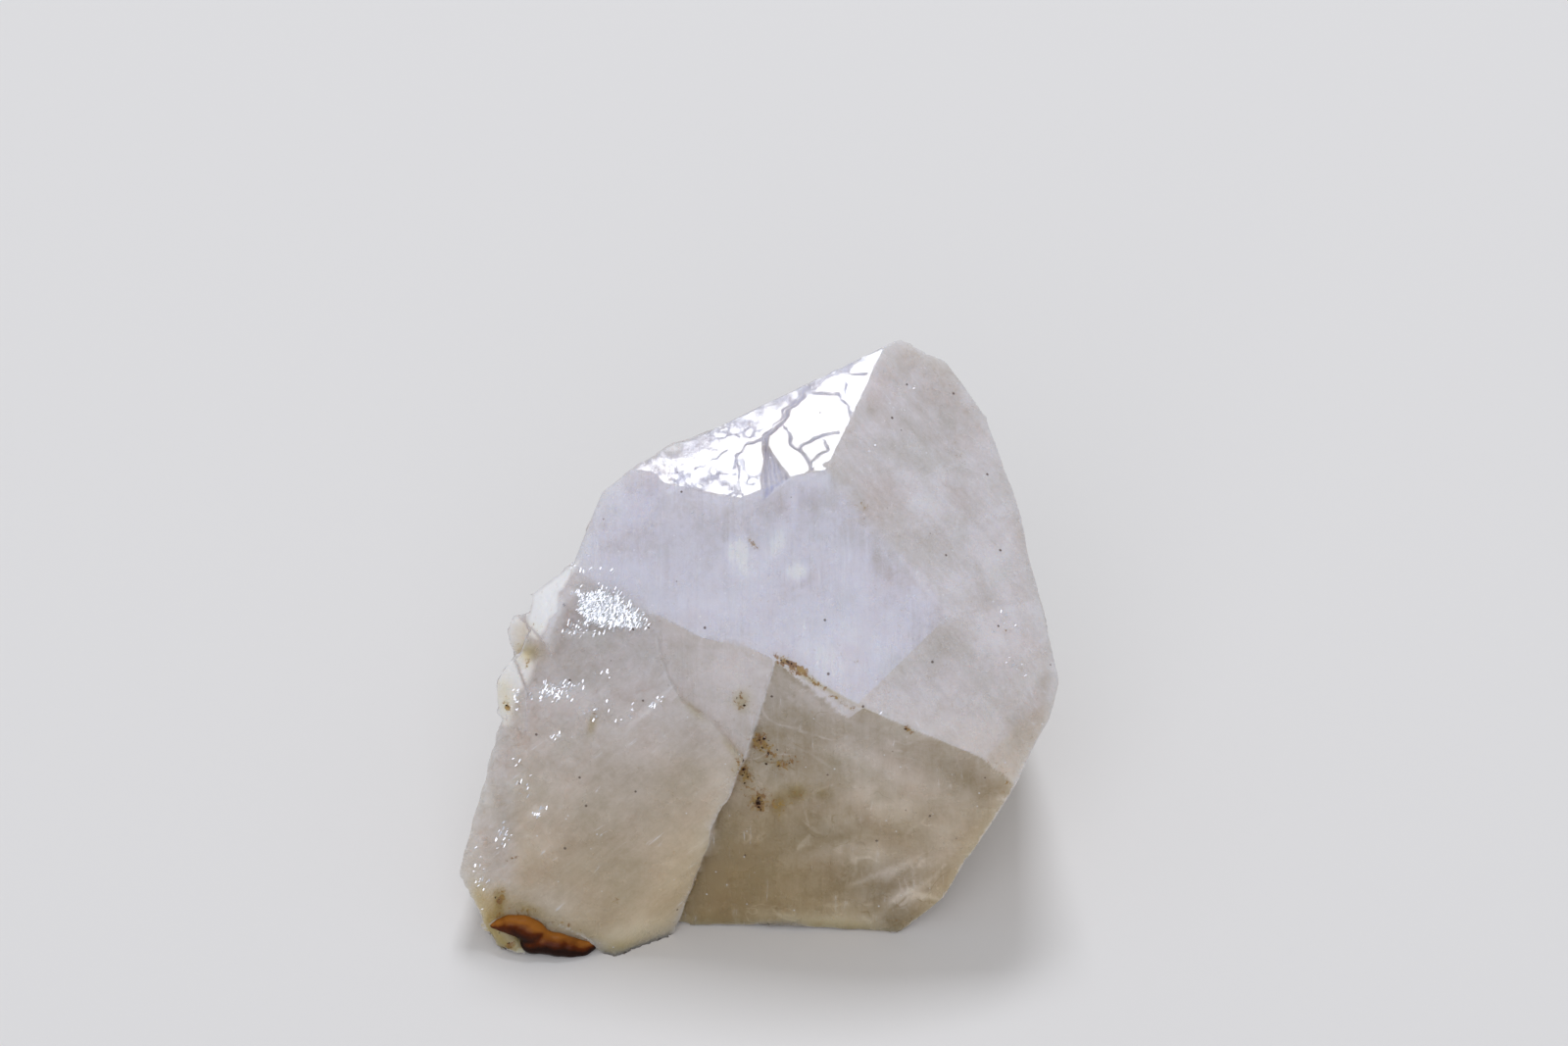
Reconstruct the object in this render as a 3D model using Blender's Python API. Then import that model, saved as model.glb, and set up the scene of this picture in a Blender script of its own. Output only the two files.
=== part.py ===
"""Milky quartz specimen: an intergrown quartz point, and an iron oxide crust lodged in its broken foot.

The specimen is a broken point, a lump grown onto its lower left, a wedge between them and chips along the
left margin, joined in one solid. Each is a block sliced by its facets. The front leans back, so places on it
are measured along it: across, up the front and out from it. Every other place is upright: x, y and z. All are
in millimetres until the end. The origin is under the middle of the specimen, on the flat it rests on.
"""

import math
import random

import bmesh
import bpy
from mathutils import Euler, Matrix, Vector

MM = 0.001
FRONT_LEAN = math.radians(42)  # how far the front leans back from upright
FRONT_RISE = 12.4  # height of the leaning front's own origin above the table
CENTRE = Vector((0.0, 2.8, 0.0))  # middle of the specimen's foot, in upright measures
BLOCK_SIZE = 80.0  # side of the rough block that each crystal is sliced from
CRUST_GAP = 0.3  # room all round the crust in its hollow

CRUST_COLOUR = (0.16, 0.055, 0.012, 1.0)
QUARTZ_COLOUR = (0.80, 0.78, 0.80, 1.0)


def on_front(across, up, out):
    """A place measured on the leaning front, as an upright place."""
    back = up * math.sin(FRONT_LEAN) - out * math.cos(FRONT_LEAN)
    height = up * math.cos(FRONT_LEAN) + out * math.sin(FRONT_LEAN)
    return Vector((across, back, FRONT_RISE + height))


def upright(x, y, z):
    return Vector((x, y, z))


TIP = on_front(7.2, 15.6, -2.2)
TOP_EDGE = on_front(6.3, 15.05, -2.0)
CREST = on_front(3.3, 8.9, 2.85)
SHOULDER = on_front(-5.3, 8.8, 3.05)
SWELL = on_front(-0.5, 3.0, 4.2)
SWELL_TOP = on_front(-0.5, 8.8, 3.4)
RIDGE_LEFT = on_front(0.8, -0.3, 4.55)
RIDGE_MIDDLE = on_front(4.8, -2.5, 4.4)
RIDGE_RIGHT = on_front(12.6, -5.8, 2.6)
RIDGE_END = on_front(12.5, -6.4, 2.2)
KNEE = on_front(9.5, 1.9, 3.15)
WEDGE_TOP = on_front(-2.9, 0.7, 4.3)
WEDGE_POINT = on_front(-0.7, -5.2, 2.1)
LEFT_BEND = on_front(-7.5, 7.8, 3.0)
LEFT_HIP = on_front(-9.1, 3.9, 3.4)
TOP_LEFT = on_front(-5.9, 9.1, 3.0)
TIP_RIGHT = on_front(9.2, 14.7, -2.7)
RIGHT_HIGH = on_front(11.35, 11.75, -2.3)
RIGHT_WAIST = on_front(12.65, 7.9, -1.1)
RIGHT_HIP = on_front(14.7, -1.4, 2.0)
RIGHT_LOW = on_front(13.9, -4.6, 2.1)
LUMP_TIP = on_front(-14.75, -10.9, -1.0)
LUMP_NECK = on_front(-11.3, 0.7, 2.0)

POINT_FACETS = {
    "top": (TOP_EDGE, CREST, SHOULDER),
    "right_face": (TOP_EDGE, CREST, KNEE),
    "front_left": (SHOULDER, SWELL, SWELL_TOP),
    "front_right": (CREST, SWELL, RIDGE_MIDDLE),
    "lower_right": (RIDGE_MIDDLE, KNEE, RIDGE_RIGHT),
    "wedge": (RIDGE_LEFT, WEDGE_TOP, WEDGE_POINT),
    "rough_corner": (on_front(-9.1, 3.6, 3.25), on_front(-4.8, 1.6, 3.95), on_front(-4.6, -1.5, 2.85)),
    "back_left_upper": (TOP_LEFT, TOP_EDGE, upright(-7.0, 13.0, 11.0)),
    "back_left_lower": (upright(-11.0, 8.0, 8.0), upright(-4.0, 13.6, 10.0), upright(-5.0, 12.6, 0.0)),
    "back": (upright(-4.0, 13.9, 10.0), upright(8.0, 14.3, 10.0), upright(3.0, 13.2, 0.0)),
    "tip_right": (TIP_RIGHT, RIGHT_HIGH, upright(12.0, 13.5, 10.0)),
    "tip_flat": (TIP, TIP_RIGHT, upright(8.5, 14.2, 15.0)),
    "right_upper": (RIGHT_HIGH, RIGHT_WAIST, upright(13.3, 9.0, 4.0)),
    "right_middle": (RIGHT_WAIST, RIGHT_HIP, upright(13.9, 6.0, 4.0)),
    "right_low": (RIGHT_HIP, RIGHT_LOW, upright(13.2, 3.0, 4.0)),
    "right_small": (on_front(11.4, -4.9, 2.8), on_front(12.7, -3.0, 2.45), on_front(13.5, -5.0, 1.9)),
    "right_foot": (RIDGE_END, on_front(9.0, -12.4, -1.9), upright(10.4, 0.0, 0.0)),
    "right_toe": (on_front(9.2, -12.1, -1.6), on_front(7.1, -13.8, -3.1), upright(9.6, -3.0, 0.0)),
    "left_upper": (TOP_LEFT, LEFT_BEND, upright(-5.4, 11.2, 14.4)),
    "left": (LEFT_BEND, LEFT_HIP, upright(-6.9, 10.4, 13.5)),
    "left_lower": (upright(-10.0, 0.0, 17.0), upright(-10.6, 6.0, 8.0), upright(-10.2, 0.0, 4.0)),
}
POINT_HEART = upright(2.0, 4.0, 8.0)

# The face under the ridge broke away, deeper than the wedge beside it.
UNDERCUT_LEFT = (RIDGE_LEFT, RIDGE_MIDDLE, on_front(-1.5, -13.9, -3.05))
UNDERCUT_RIGHT = (RIDGE_MIDDLE, RIDGE_RIGHT, on_front(1.0, -13.8, -3.2))
UNDERCUT_STEP = (on_front(0.9, -0.3, 4.5), on_front(-0.6, -5.2, 2.1), on_front(0.1, -2.0, -8.0))
UNDERCUT_LOW_STEP = (on_front(-0.6, -4.9, 2.1), on_front(-4.2, -10.5, -1.0), on_front(-1.5, -5.2, -8.0))
UNDERCUT_LOW_TOP = (on_front(0.0, -5.1, 2.1), on_front(5.0, -5.1, 2.1), on_front(5.0, -5.1, -8.0))
UNDERCUTS = {
    "undercut_left": (UNDERCUT_LEFT, UNDERCUT_STEP),
    "undercut_right": (UNDERCUT_RIGHT, UNDERCUT_STEP),
    "undercut_low_left": (UNDERCUT_LEFT, UNDERCUT_LOW_STEP, UNDERCUT_LOW_TOP),
    "undercut_low_right": (UNDERCUT_RIGHT, UNDERCUT_LOW_STEP, UNDERCUT_LOW_TOP),
}
UNDERCUT_HEART = on_front(3.0, -9.0, 8.0)

LUMP_FACETS = {
    "top": (on_front(-8.3, 3.3, 3.35), on_front(-4.9, 1.2, 3.8), on_front(-6.0, 6.0, 2.7)),
    "crown": (upright(-12.0, 0.0, 14.5), upright(0.0, 0.0, 15.5), upright(-8.0, 8.0, 13.0)),
    "rough_face": (on_front(-8.3, 3.0, 3.4), on_front(-4.9, -2.3, 2.8), on_front(-10.7, -7.9, 0.45)),
    "smooth_face": (on_front(-4.8, -0.1, 3.6), WEDGE_POINT, on_front(-8.5, -15.0, -1.9)),
    "heel": (on_front(-4.7, -14.2, -2.7), on_front(-6.9, -15.05, -1.9), on_front(-3.0, -10.0, 0.1)),
    "right_wall": (WEDGE_POINT, on_front(-3.9, -13.4, -1.6), on_front(-2.9, -9.0, -6.0)),
    "left": (LUMP_NECK, LUMP_TIP, upright(-12.4, 4.0, 3.0)),
    "left_shoulder": (on_front(-8.9, 4.4, 2.8), LUMP_NECK, upright(-10.8, 5.0, 11.0)),
    "left_foot": (LUMP_TIP, on_front(-12.9, -14.4, -2.2), upright(-12.2, 1.5, 0.0)),
    "back": (upright(-12.5, 4.5, 4.0), upright(-4.0, 9.0, 4.0), upright(-10.5, 4.6, 12.0)),
}
LUMP_BREAK = (on_front(-0.3, -9.6, 0.5), (2.1, 3.6, 3.0), (0, 0, 0))
LUMP_HEART = upright(-8.0, 0.0, 5.0)

# Splinters that still hang on the left margin: place, three radii, turn in degrees.
CHIPS = {
    "white_chip": (on_front(-9.9, 1.9, 1.6), (1.25, 1.3, 1.7), (10, 20, 35)),
    "clear_shard": (on_front(-11.5, 0.5, 0.3), (0.6, 0.9, 1.1), (0, 15, 10)),
    "margin_lobe": (on_front(-11.8, -2.4, 0.0), (0.8, 1.4, 1.8), (15, 0, 0)),
    "margin_chip": (on_front(-12.0, -4.0, -0.4), (0.7, 1.0, 0.9), (0, 30, 20)),
}
CHIP_FACETS = 14

# Shell-shaped breaks in the hidden back and round the foot.
SHELL_BREAKS = {
    "back_break": (upright(-1.0, 21.0, 2.5), (9.0, 9.5, 7.5), (0, 12, 8)),
    "right_break": (upright(20.5, 7.0, 1.5), (9.5, 8.0, 6.0), (0, -10, 0)),
    "left_break": (upright(-17.5, 10.5, 3.0), (8.5, 7.0, 7.5), (0, 0, 30)),
}
BREAK_DETAIL = 3

CRUST = (upright(-10.35, -7.8, 0.4), (2.75, 1.2, 0.85), (0, 14, -4))
CRUST_DETAIL = 3
CRUST_LIFT = 0.1  # the crust stays this far above the table
CRUST_ROUGHNESS = 0.25
QUARTZ_ROUGHNESS = 0.2


def new_block(centre):
    block = bmesh.new()
    bmesh.ops.create_cube(block, size=BLOCK_SIZE, matrix=Matrix.Translation(centre))
    return block


def slice_off(block, corners, heart):
    """Cuts the block along the plane through three corners, and keeps the side that holds its heart."""
    first, second, third = corners
    outward = (second - first).cross(third - first).normalized()
    if (heart - first).dot(outward) > 0:
        outward.negate()
    everything = block.verts[:] + block.edges[:] + block.faces[:]
    cut = bmesh.ops.bisect_plane(
        block, geom=everything, plane_co=first, plane_no=outward, clear_outer=True
    )
    rim = [part for part in cut["geom_cut"] if isinstance(part, bmesh.types.BMEdge)]
    if rim:
        bmesh.ops.edgeloop_fill(block, edges=rim)


def sliced_block(facets, heart):
    block = new_block(heart)
    for corners in facets:
        slice_off(block, corners, heart)
    bmesh.ops.recalc_face_normals(block, faces=block.faces[:])
    return block


def keep_as(name, shape, collection):
    """Turns a bmesh into an object in the collection, in metres about the specimen's origin."""
    bmesh.ops.translate(shape, verts=shape.verts[:], vec=-CENTRE)
    bmesh.ops.scale(shape, verts=shape.verts[:], vec=(MM, MM, MM))
    mesh = bpy.data.meshes.new(name)
    shape.to_mesh(mesh)
    shape.free()
    made = bpy.data.objects.new(name, mesh)
    collection.objects.link(made)
    return made


def new_collection(name, hidden=False):
    made = bpy.data.collections.new(name)
    bpy.context.scene.collection.children.link(made)
    made.hide_render = hidden
    return made


def new_material(name, colour, roughness):
    material = bpy.data.materials.new(name)
    material.use_nodes = True
    shader = material.node_tree.nodes["Principled BSDF"]
    shader.inputs["Base Color"].default_value = colour
    shader.inputs["Roughness"].default_value = roughness
    shader.inputs["Metallic"].default_value = 0.0
    return material


def chip_block(place, radii, turn, seed):
    """A splinter: a small block sliced all round by planes at uneven slants."""
    dice = random.Random(seed)
    block = bmesh.new()
    bmesh.ops.create_cube(block, size=4.0)
    for _ in range(CHIP_FACETS):
        outward = Vector((dice.gauss(0, 1), dice.gauss(0, 1), dice.gauss(0, 1))).normalized()
        everything = block.verts[:] + block.edges[:] + block.faces[:]
        cut = bmesh.ops.bisect_plane(
            block,
            geom=everything,
            plane_co=outward * dice.uniform(0.8, 1.1),
            plane_no=outward,
            clear_outer=True,
        )
        rim = [part for part in cut["geom_cut"] if isinstance(part, bmesh.types.BMEdge)]
        if rim:
            bmesh.ops.edgeloop_fill(block, edges=rim)
    turned = Euler([math.radians(angle) for angle in turn]).to_matrix().to_4x4()
    shape = Matrix.Translation(place) @ turned @ Matrix.Diagonal((*radii, 1.0))
    bmesh.ops.transform(block, matrix=shape, verts=block.verts[:])
    bmesh.ops.recalc_face_normals(block, faces=block.faces[:])
    return block


def round_block(place, radii, turn, detail):
    """A rounded body: a sphere stretched to three radii and turned."""
    block = bmesh.new()
    bmesh.ops.create_icosphere(block, subdivisions=detail, radius=1.0)
    turned = Euler([math.radians(angle) for angle in turn]).to_matrix().to_4x4()
    shape = Matrix.Translation(place) @ turned @ Matrix.Diagonal((*radii, 1.0))
    bmesh.ops.transform(block, matrix=shape, verts=block.verts[:])
    return block


def combine(target, other, operation):
    modifier = target.modifiers.new(operation.lower() + "_" + other.name, "BOOLEAN")
    modifier.operation = operation
    modifier.solver = "EXACT"
    modifier.object = other
    other.hide_render = True
    other.display_type = "WIRE"


def build_quartz(parts, cutters):
    quartz = keep_as("quartz_cluster", sliced_block(POINT_FACETS.values(), POINT_HEART), parts)
    for name, facets in UNDERCUTS.items():
        undercut = sliced_block(facets, UNDERCUT_HEART)
        combine(quartz, keep_as(name, undercut, cutters), "DIFFERENCE")
    lump = keep_as("lump", sliced_block(LUMP_FACETS.values(), LUMP_HEART), cutters)
    lump_break = round_block(*LUMP_BREAK, BREAK_DETAIL)
    combine(lump, keep_as("lump_break", lump_break, cutters), "DIFFERENCE")
    combine(quartz, lump, "UNION")
    for seed, (name, (place, radii, turn)) in enumerate(CHIPS.items()):
        combine(quartz, keep_as(name, chip_block(place, radii, turn, seed), cutters), "UNION")
    for name, (place, radii, turn) in SHELL_BREAKS.items():
        bite = round_block(place, radii, turn, BREAK_DETAIL)
        combine(quartz, keep_as(name, bite, cutters), "DIFFERENCE")
    place, radii, turn = CRUST
    hollow_radii = [radius + CRUST_GAP for radius in radii]
    hollow = round_block(place, hollow_radii, turn, CRUST_DETAIL)
    combine(quartz, keep_as("crust_hollow", hollow, cutters), "DIFFERENCE")
    below = new_block(upright(0, 0, -BLOCK_SIZE / 2))
    combine(quartz, keep_as("below_table", below, cutters), "DIFFERENCE")
    quartz.data.materials.append(new_material("milky_quartz", QUARTZ_COLOUR, QUARTZ_ROUGHNESS))
    return quartz


def build_crust(parts):
    place, radii, turn = CRUST
    lens = round_block(place, radii, turn, CRUST_DETAIL)
    floor_corners = [upright(x, y, CRUST_LIFT) for x, y in ((0, 0), (1, 0), (0, 1))]
    slice_off(lens, floor_corners, place)
    bmesh.ops.recalc_face_normals(lens, faces=lens.faces[:])
    crust = keep_as("iron_oxide_crust", lens, parts)
    crust.data.materials.append(new_material("iron_oxide", CRUST_COLOUR, CRUST_ROUGHNESS))
    return crust


def main():
    for leftover in list(bpy.data.objects):
        bpy.data.objects.remove(leftover, do_unlink=True)
    parts = new_collection("milky_quartz_specimen")
    cutters = new_collection("shaping_blocks", hidden=True)
    build_quartz(parts, cutters)
    build_crust(parts)


main()
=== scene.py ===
import math

import bmesh
import bpy
import numpy as np
from mathutils import Matrix, Vector
from mathutils.bvhtree import BVHTree
from mathutils.kdtree import KDTree


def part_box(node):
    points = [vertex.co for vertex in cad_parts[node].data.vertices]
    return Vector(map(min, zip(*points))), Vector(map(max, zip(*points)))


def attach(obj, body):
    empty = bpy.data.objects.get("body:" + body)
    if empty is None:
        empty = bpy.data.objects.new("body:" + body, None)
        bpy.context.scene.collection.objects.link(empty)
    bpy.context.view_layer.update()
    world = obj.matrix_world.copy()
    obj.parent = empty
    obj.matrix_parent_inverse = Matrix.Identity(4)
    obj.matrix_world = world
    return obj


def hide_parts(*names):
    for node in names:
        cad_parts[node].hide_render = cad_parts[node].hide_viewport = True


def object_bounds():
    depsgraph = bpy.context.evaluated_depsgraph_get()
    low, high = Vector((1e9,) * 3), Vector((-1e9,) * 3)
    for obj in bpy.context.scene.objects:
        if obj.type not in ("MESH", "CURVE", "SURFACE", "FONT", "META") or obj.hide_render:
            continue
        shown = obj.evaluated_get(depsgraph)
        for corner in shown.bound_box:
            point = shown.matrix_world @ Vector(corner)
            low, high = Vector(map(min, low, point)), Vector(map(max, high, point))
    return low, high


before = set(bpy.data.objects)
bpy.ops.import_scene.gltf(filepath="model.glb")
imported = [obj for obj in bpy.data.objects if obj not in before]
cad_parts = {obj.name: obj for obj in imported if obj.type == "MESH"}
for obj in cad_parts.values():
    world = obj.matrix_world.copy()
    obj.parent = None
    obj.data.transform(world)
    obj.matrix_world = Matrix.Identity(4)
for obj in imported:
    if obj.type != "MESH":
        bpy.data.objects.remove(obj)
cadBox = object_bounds()
print("frame loaded:", sorted(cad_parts))

mm = 0.001  # metres in a millimetre; shapes are worked out in mm and scaled down at the end
leanAngle = math.radians(42)  # the specimen's front leans this far back
frontOrigin = (0.0, -2.8, 12.4)  # mm, where the front's own measures start


# Places on the leaning front are (across, up) or (across, up, out) in mm.
def frontPlaces(points):
    back = points[:, 1] - frontOrigin[1]
    rise = points[:, 2] - frontOrigin[2]
    across = points[:, 0] - frontOrigin[0]
    up = back * math.sin(leanAngle) + rise * math.cos(leanAngle)
    out = rise * math.sin(leanAngle) - back * math.cos(leanAngle)
    return across, up, out


def placeOnFront(across, up, out):
    back = up * math.sin(leanAngle) - out * math.cos(leanAngle)
    rise = up * math.cos(leanAngle) + out * math.sin(leanAngle)
    return np.array((across, frontOrigin[1] + back, frontOrigin[2] + rise))


outOfFront = placeOnFront(0, 0, 1) - placeOnFront(0, 0, 0)

studio = {
    "floorColour": "#E6E4E1",
    "floorSide": 4.0,  # m
    "cameraDistance": 305.5,  # mm from the front's face
    "cameraAim": (1.296, 6.312),  # mm across and up the front
    "lens": 143.2,  # mm
    "filmWidth": 36.0,  # mm
    "nearestSeen": 0.01,  # m
    # direction from the specimen, distance and side in m, power in W, and colour
    "softBoxes": {
        "mirror_box": ((0.018, 0.47, 0.883), 0.7, 0.2, 2.0, "#F2F6FF"),
        "front_fill": ((-0.1, -0.75, 0.65), 1.2, 1.0, 4.0, "#F5F6FF"),
    },
    "softBoxAim": 10.0,  # mm above the floor
    "worldColour": "#F0F1F4",
    "worldStrength": 0.5,
}


# Places across and up as the camera sees them, so that nearer ones spread out a little.
def seenPlaces(points):
    across, up, out = frontPlaces(points)
    spread = studio["cameraDistance"] / (studio["cameraDistance"] - out)
    aimAcross, aimUp = studio["cameraAim"]
    return aimAcross + (across - aimAcross) * spread, aimUp + (up - aimUp) * spread, out


# The real place of something seen at (across, up), that lies this far out.
def placeSeen(across, up, out):
    spread = studio["cameraDistance"] / (studio["cameraDistance"] - out)
    aimAcross, aimUp = studio["cameraAim"]
    return placeOnFront(aimAcross + (across - aimAcross) / spread, aimUp + (up - aimUp) / spread, out)


# A smooth step from 0 at "low" to 1 at "high".
def ramp(value, low, high):
    share = np.clip((value - low) / (high - low), 0.0, 1.0)
    return share * share * (3.0 - 2.0 * share)


# A random number from -1 to 1 for each row of whole numbers.
def scrambled(keys, seed):
    mixed = keys @ np.array((73856093, 19349663, 83492791)) + seed * 1013904223
    mixed = (mixed ^ (mixed >> 13)) * 1274126177 & 0x7FFFFFFF
    mixed = (mixed ^ (mixed >> 15)) * 668265263 & 0x7FFFFFFF
    return ((mixed ^ (mixed >> 14)) & 0xFFFF) / 32767.5 - 1.0


# A smooth random field from about -1 to 1, with lumps about "size" mm wide.
def softNoise(points, size, seed, layers=1):
    total = np.zeros(len(points))
    strength = 1.0
    for layer in range(layers):
        grid = points * 2 ** layer / size + 57.3 * (layer + 1)
        corner = np.floor(grid).astype(np.int64)
        local = grid - corner
        blend = local * local * (3.0 - 2.0 * local)
        for step in np.ndindex(2, 2, 2):
            share = np.prod(np.where(step, blend, 1.0 - blend), axis=1)
            total += strength * share * scrambled(corner + step, seed + layer)
        strength *= 0.5
    return total


# Broken cells about "size" mm wide: how far each point is inside its own cell, its cell's random
# direction, and its offset from that cell's middle.
def brokenCells(points, size, seed):
    grid = points / size
    corner = np.floor(grid).astype(np.int64)
    nearest = np.full(len(points), 9.0)
    second = np.full(len(points), 9.0)
    direction = np.zeros_like(points)
    offset = np.zeros_like(points)
    for step in np.ndindex(3, 3, 3):
        cell = corner + step - 1
        jitter = np.stack([scrambled(cell, seed + axis) for axis in range(3)], axis=1)
        away = grid - (cell + 0.5 + 0.45 * jitter)
        distance = np.linalg.norm(away, axis=1)
        closer = distance < nearest
        second = np.where(closer, nearest, np.minimum(second, distance))
        nearest = np.where(closer, distance, nearest)
        offset[closer] = away[closer] * size
        turned = np.stack([scrambled(cell, seed + 7 + axis) for axis in range(3)], axis=1)
        direction[closer] = turned[closer]
    return (second - nearest) * size, direction, offset


# How far each place lies from the nearest stretch of a path, in mm.
def pathDistance(across, up, path):
    best = np.full(len(across), 99.0)
    for (startAcross, startUp), (endAcross, endUp) in zip(path, path[1:]):
        runAcross = endAcross - startAcross
        runUp = endUp - startUp
        length = runAcross ** 2 + runUp ** 2
        along = ((across - startAcross) * runAcross + (up - startUp) * runUp) / length
        along = np.clip(along, 0.0, 1.0)
        gap = np.hypot(across - startAcross - along * runAcross, up - startUp - along * runUp)
        best = np.minimum(best, gap)
    return best


# How far inside a closed outline each place lies, in mm, and below zero outside it.
def depthInside(across, up, outline):
    closed = (*outline, outline[0])
    inside = np.zeros(len(across), bool)
    for (startAcross, startUp), (endAcross, endUp) in zip(closed, closed[1:]):
        if startUp == endUp:
            continue
        meeting = startAcross + (up - startUp) * (endAcross - startAcross) / (endUp - startUp)
        inside ^= ((startUp > up) != (endUp > up)) & (across < meeting)
    gap = pathDistance(across, up, closed)
    return np.where(inside, gap, -gap)


def meshPoints(mesh):
    flat = np.zeros(len(mesh.vertices) * 3)
    mesh.vertices.foreach_get("co", flat)
    return flat.reshape(-1, 3)


def meshNormals(mesh):
    flat = np.zeros(len(mesh.vertices) * 3)
    mesh.vertices.foreach_get("normal", flat)
    return flat.reshape(-1, 3)


def setPoints(mesh, points):
    mesh.vertices.foreach_set("co", points.astype(np.float32).ravel())
    mesh.update()


def meshEdges(mesh):
    flat = np.zeros(len(mesh.edges) * 2, np.int32)
    mesh.edges.foreach_get("vertices", flat)
    return flat.reshape(-1, 2)


# Moves each point towards the mean of its neighbours, as far as its own share says.
def relaxed(points, edges, share, rounds):
    first = np.concatenate((edges[:, 0], edges[:, 1]))
    second = np.concatenate((edges[:, 1], edges[:, 0]))
    count = np.bincount(first, minlength=len(points))
    points = points.copy()
    for _ in range(rounds):
        for axis in range(points.shape[1]):
            total = np.bincount(first, weights=points[second, axis], minlength=len(points))
            points[:, axis] += share * (total / count - points[:, axis])
    return points


def newObject(name, data):
    made = bpy.data.objects.new(name, data)
    bpy.context.scene.collection.objects.link(made)
    return made


def evaluatedMesh(made):
    graph = bpy.context.evaluated_depsgraph_get()
    return bpy.data.meshes.new_from_object(made.evaluated_get(graph))


# A merged copy of a CAD node's mesh, in mm.
def mergedCopy(node):
    shape = bmesh.new()
    shape.from_mesh(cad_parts[node].data)
    bmesh.ops.scale(shape, vec=(1 / mm,) * 3, verts=shape.verts)
    bmesh.ops.remove_doubles(shape, verts=shape.verts, dist=0.0005)
    shape.normal_update()
    return shape


# Points "gap" mm apart along every edge sharper than the angle.
def sharpEdgePoints(shape, angle, gap=0.1):
    found = []
    for edge in shape.edges:
        if len(edge.link_faces) != 2 or edge.calc_face_angle() < angle:
            continue
        start, end = (corner.co for corner in edge.verts)
        steps = max(2, int((end - start).length / gap))
        found += [start.lerp(end, step / steps) for step in range(steps + 1)]
    return found


def treeOf(places):
    tree = KDTree(len(places))
    for number, place in enumerate(places):
        tree.insert(place, number)
    tree.balance()
    return tree


def distanceTo(tree, points):
    return np.array([tree.find(point)[2] for point in points])


# Lengths, depths and heights are in mm.
quartz = {
    "cell": 0.235,  # mesh cell on plain faces; a half or a quarter of it where detail is wanted
    "edgeAngle": math.radians(11),
    "creaseAngle": math.radians(30),  # sharper bends than this stay crisp
    "detailNearEdge": 0.34,
    "detailNearCrisp": (0.32, 0.18),  # at each of the two levels of detail
    "detailNearCrack": (0.12, 0.0),
    "layBack": 0.7,  # in cells: points this near the CAD's faces are laid back on them
    "wearRounds": 70,  # how often the worn edges are smoothed
    "blurRounds": 40,  # how often the zones are blurred there
    "bulge": 0.6,  # of the roll from the middle face down to the lump
    "swell": 0.9,  # of the gloss face over the middle face
    "leftEdgeSpan": (-4.4, 2.78),  # up, where the left edge follows its own line
    # depths on the gloss face
    "notch": 0.06,
    "notchRib": 0.04,
    "scallop": 0.08,
    "plateStep": 0.003,
    "plateWear": 0.006,
    "rimWear": 0.02,
    # depths on the broken faces and beside them
    "brokenSwell": 0.1,
    "brokenGrain": 0.035,
    "ripple": 0.02,
    "blow": (1.5, -0.5, 4.0),  # across, up and out, where the blow fell that broke the foot
    "shell": 0.04,
    "wave": 0.07,
    "waveTurn": math.radians(28),
    "wedgeSink": 0.1,
    "stepRise": 0.14,  # of the lump over the wedge
    "footBevel": 0.1,
    # depths elsewhere
    "terraceRise": 0.22,  # height of the small growth steps on the rough zones
    "chipSlope": 0.22,  # how far each chip may tip, as a rise over a run
    "backSlope": 0.3,
    "growthLine": 0.03,
    "uneven": (0.012, 0.03),  # fine and broad
    "nibble": 0.1,
    "pit": (0.05, 0.3),  # least and added depth of the underside's hollows
    # how light or dark each zone is beside the others: painted light and shade by the way each face turns to
    # the lamps
    "tones": {"middle": 0.13, "right": -0.04, "lowerRight": 0.1, "wedge": -0.02, "under": -0.6, "lump": -0.1},
    "hiddenTone": -0.05,
}

# The specimen's named faces, by the way each one looks.
faceDirections = {
    "gloss": (0.011, -0.173, 0.985),
    "right": (0.433, -0.313, 0.845),
    "middleLeft": (-0.072, -0.643, 0.762),
    "middleRight": (0.118, -0.63, 0.768),
    "lowerRight": (0.235, -0.705, 0.669),
    "wedge": (-0.169, -0.937, 0.307),
    "underLeft": (-0.214, -0.945, 0.247),
    "underRight": (-0.039, -0.988, 0.151),
    "lumpSmooth": (-0.067, -0.921, 0.384),
    "lumpRough": (-0.175, -0.861, 0.478),
}

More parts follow.
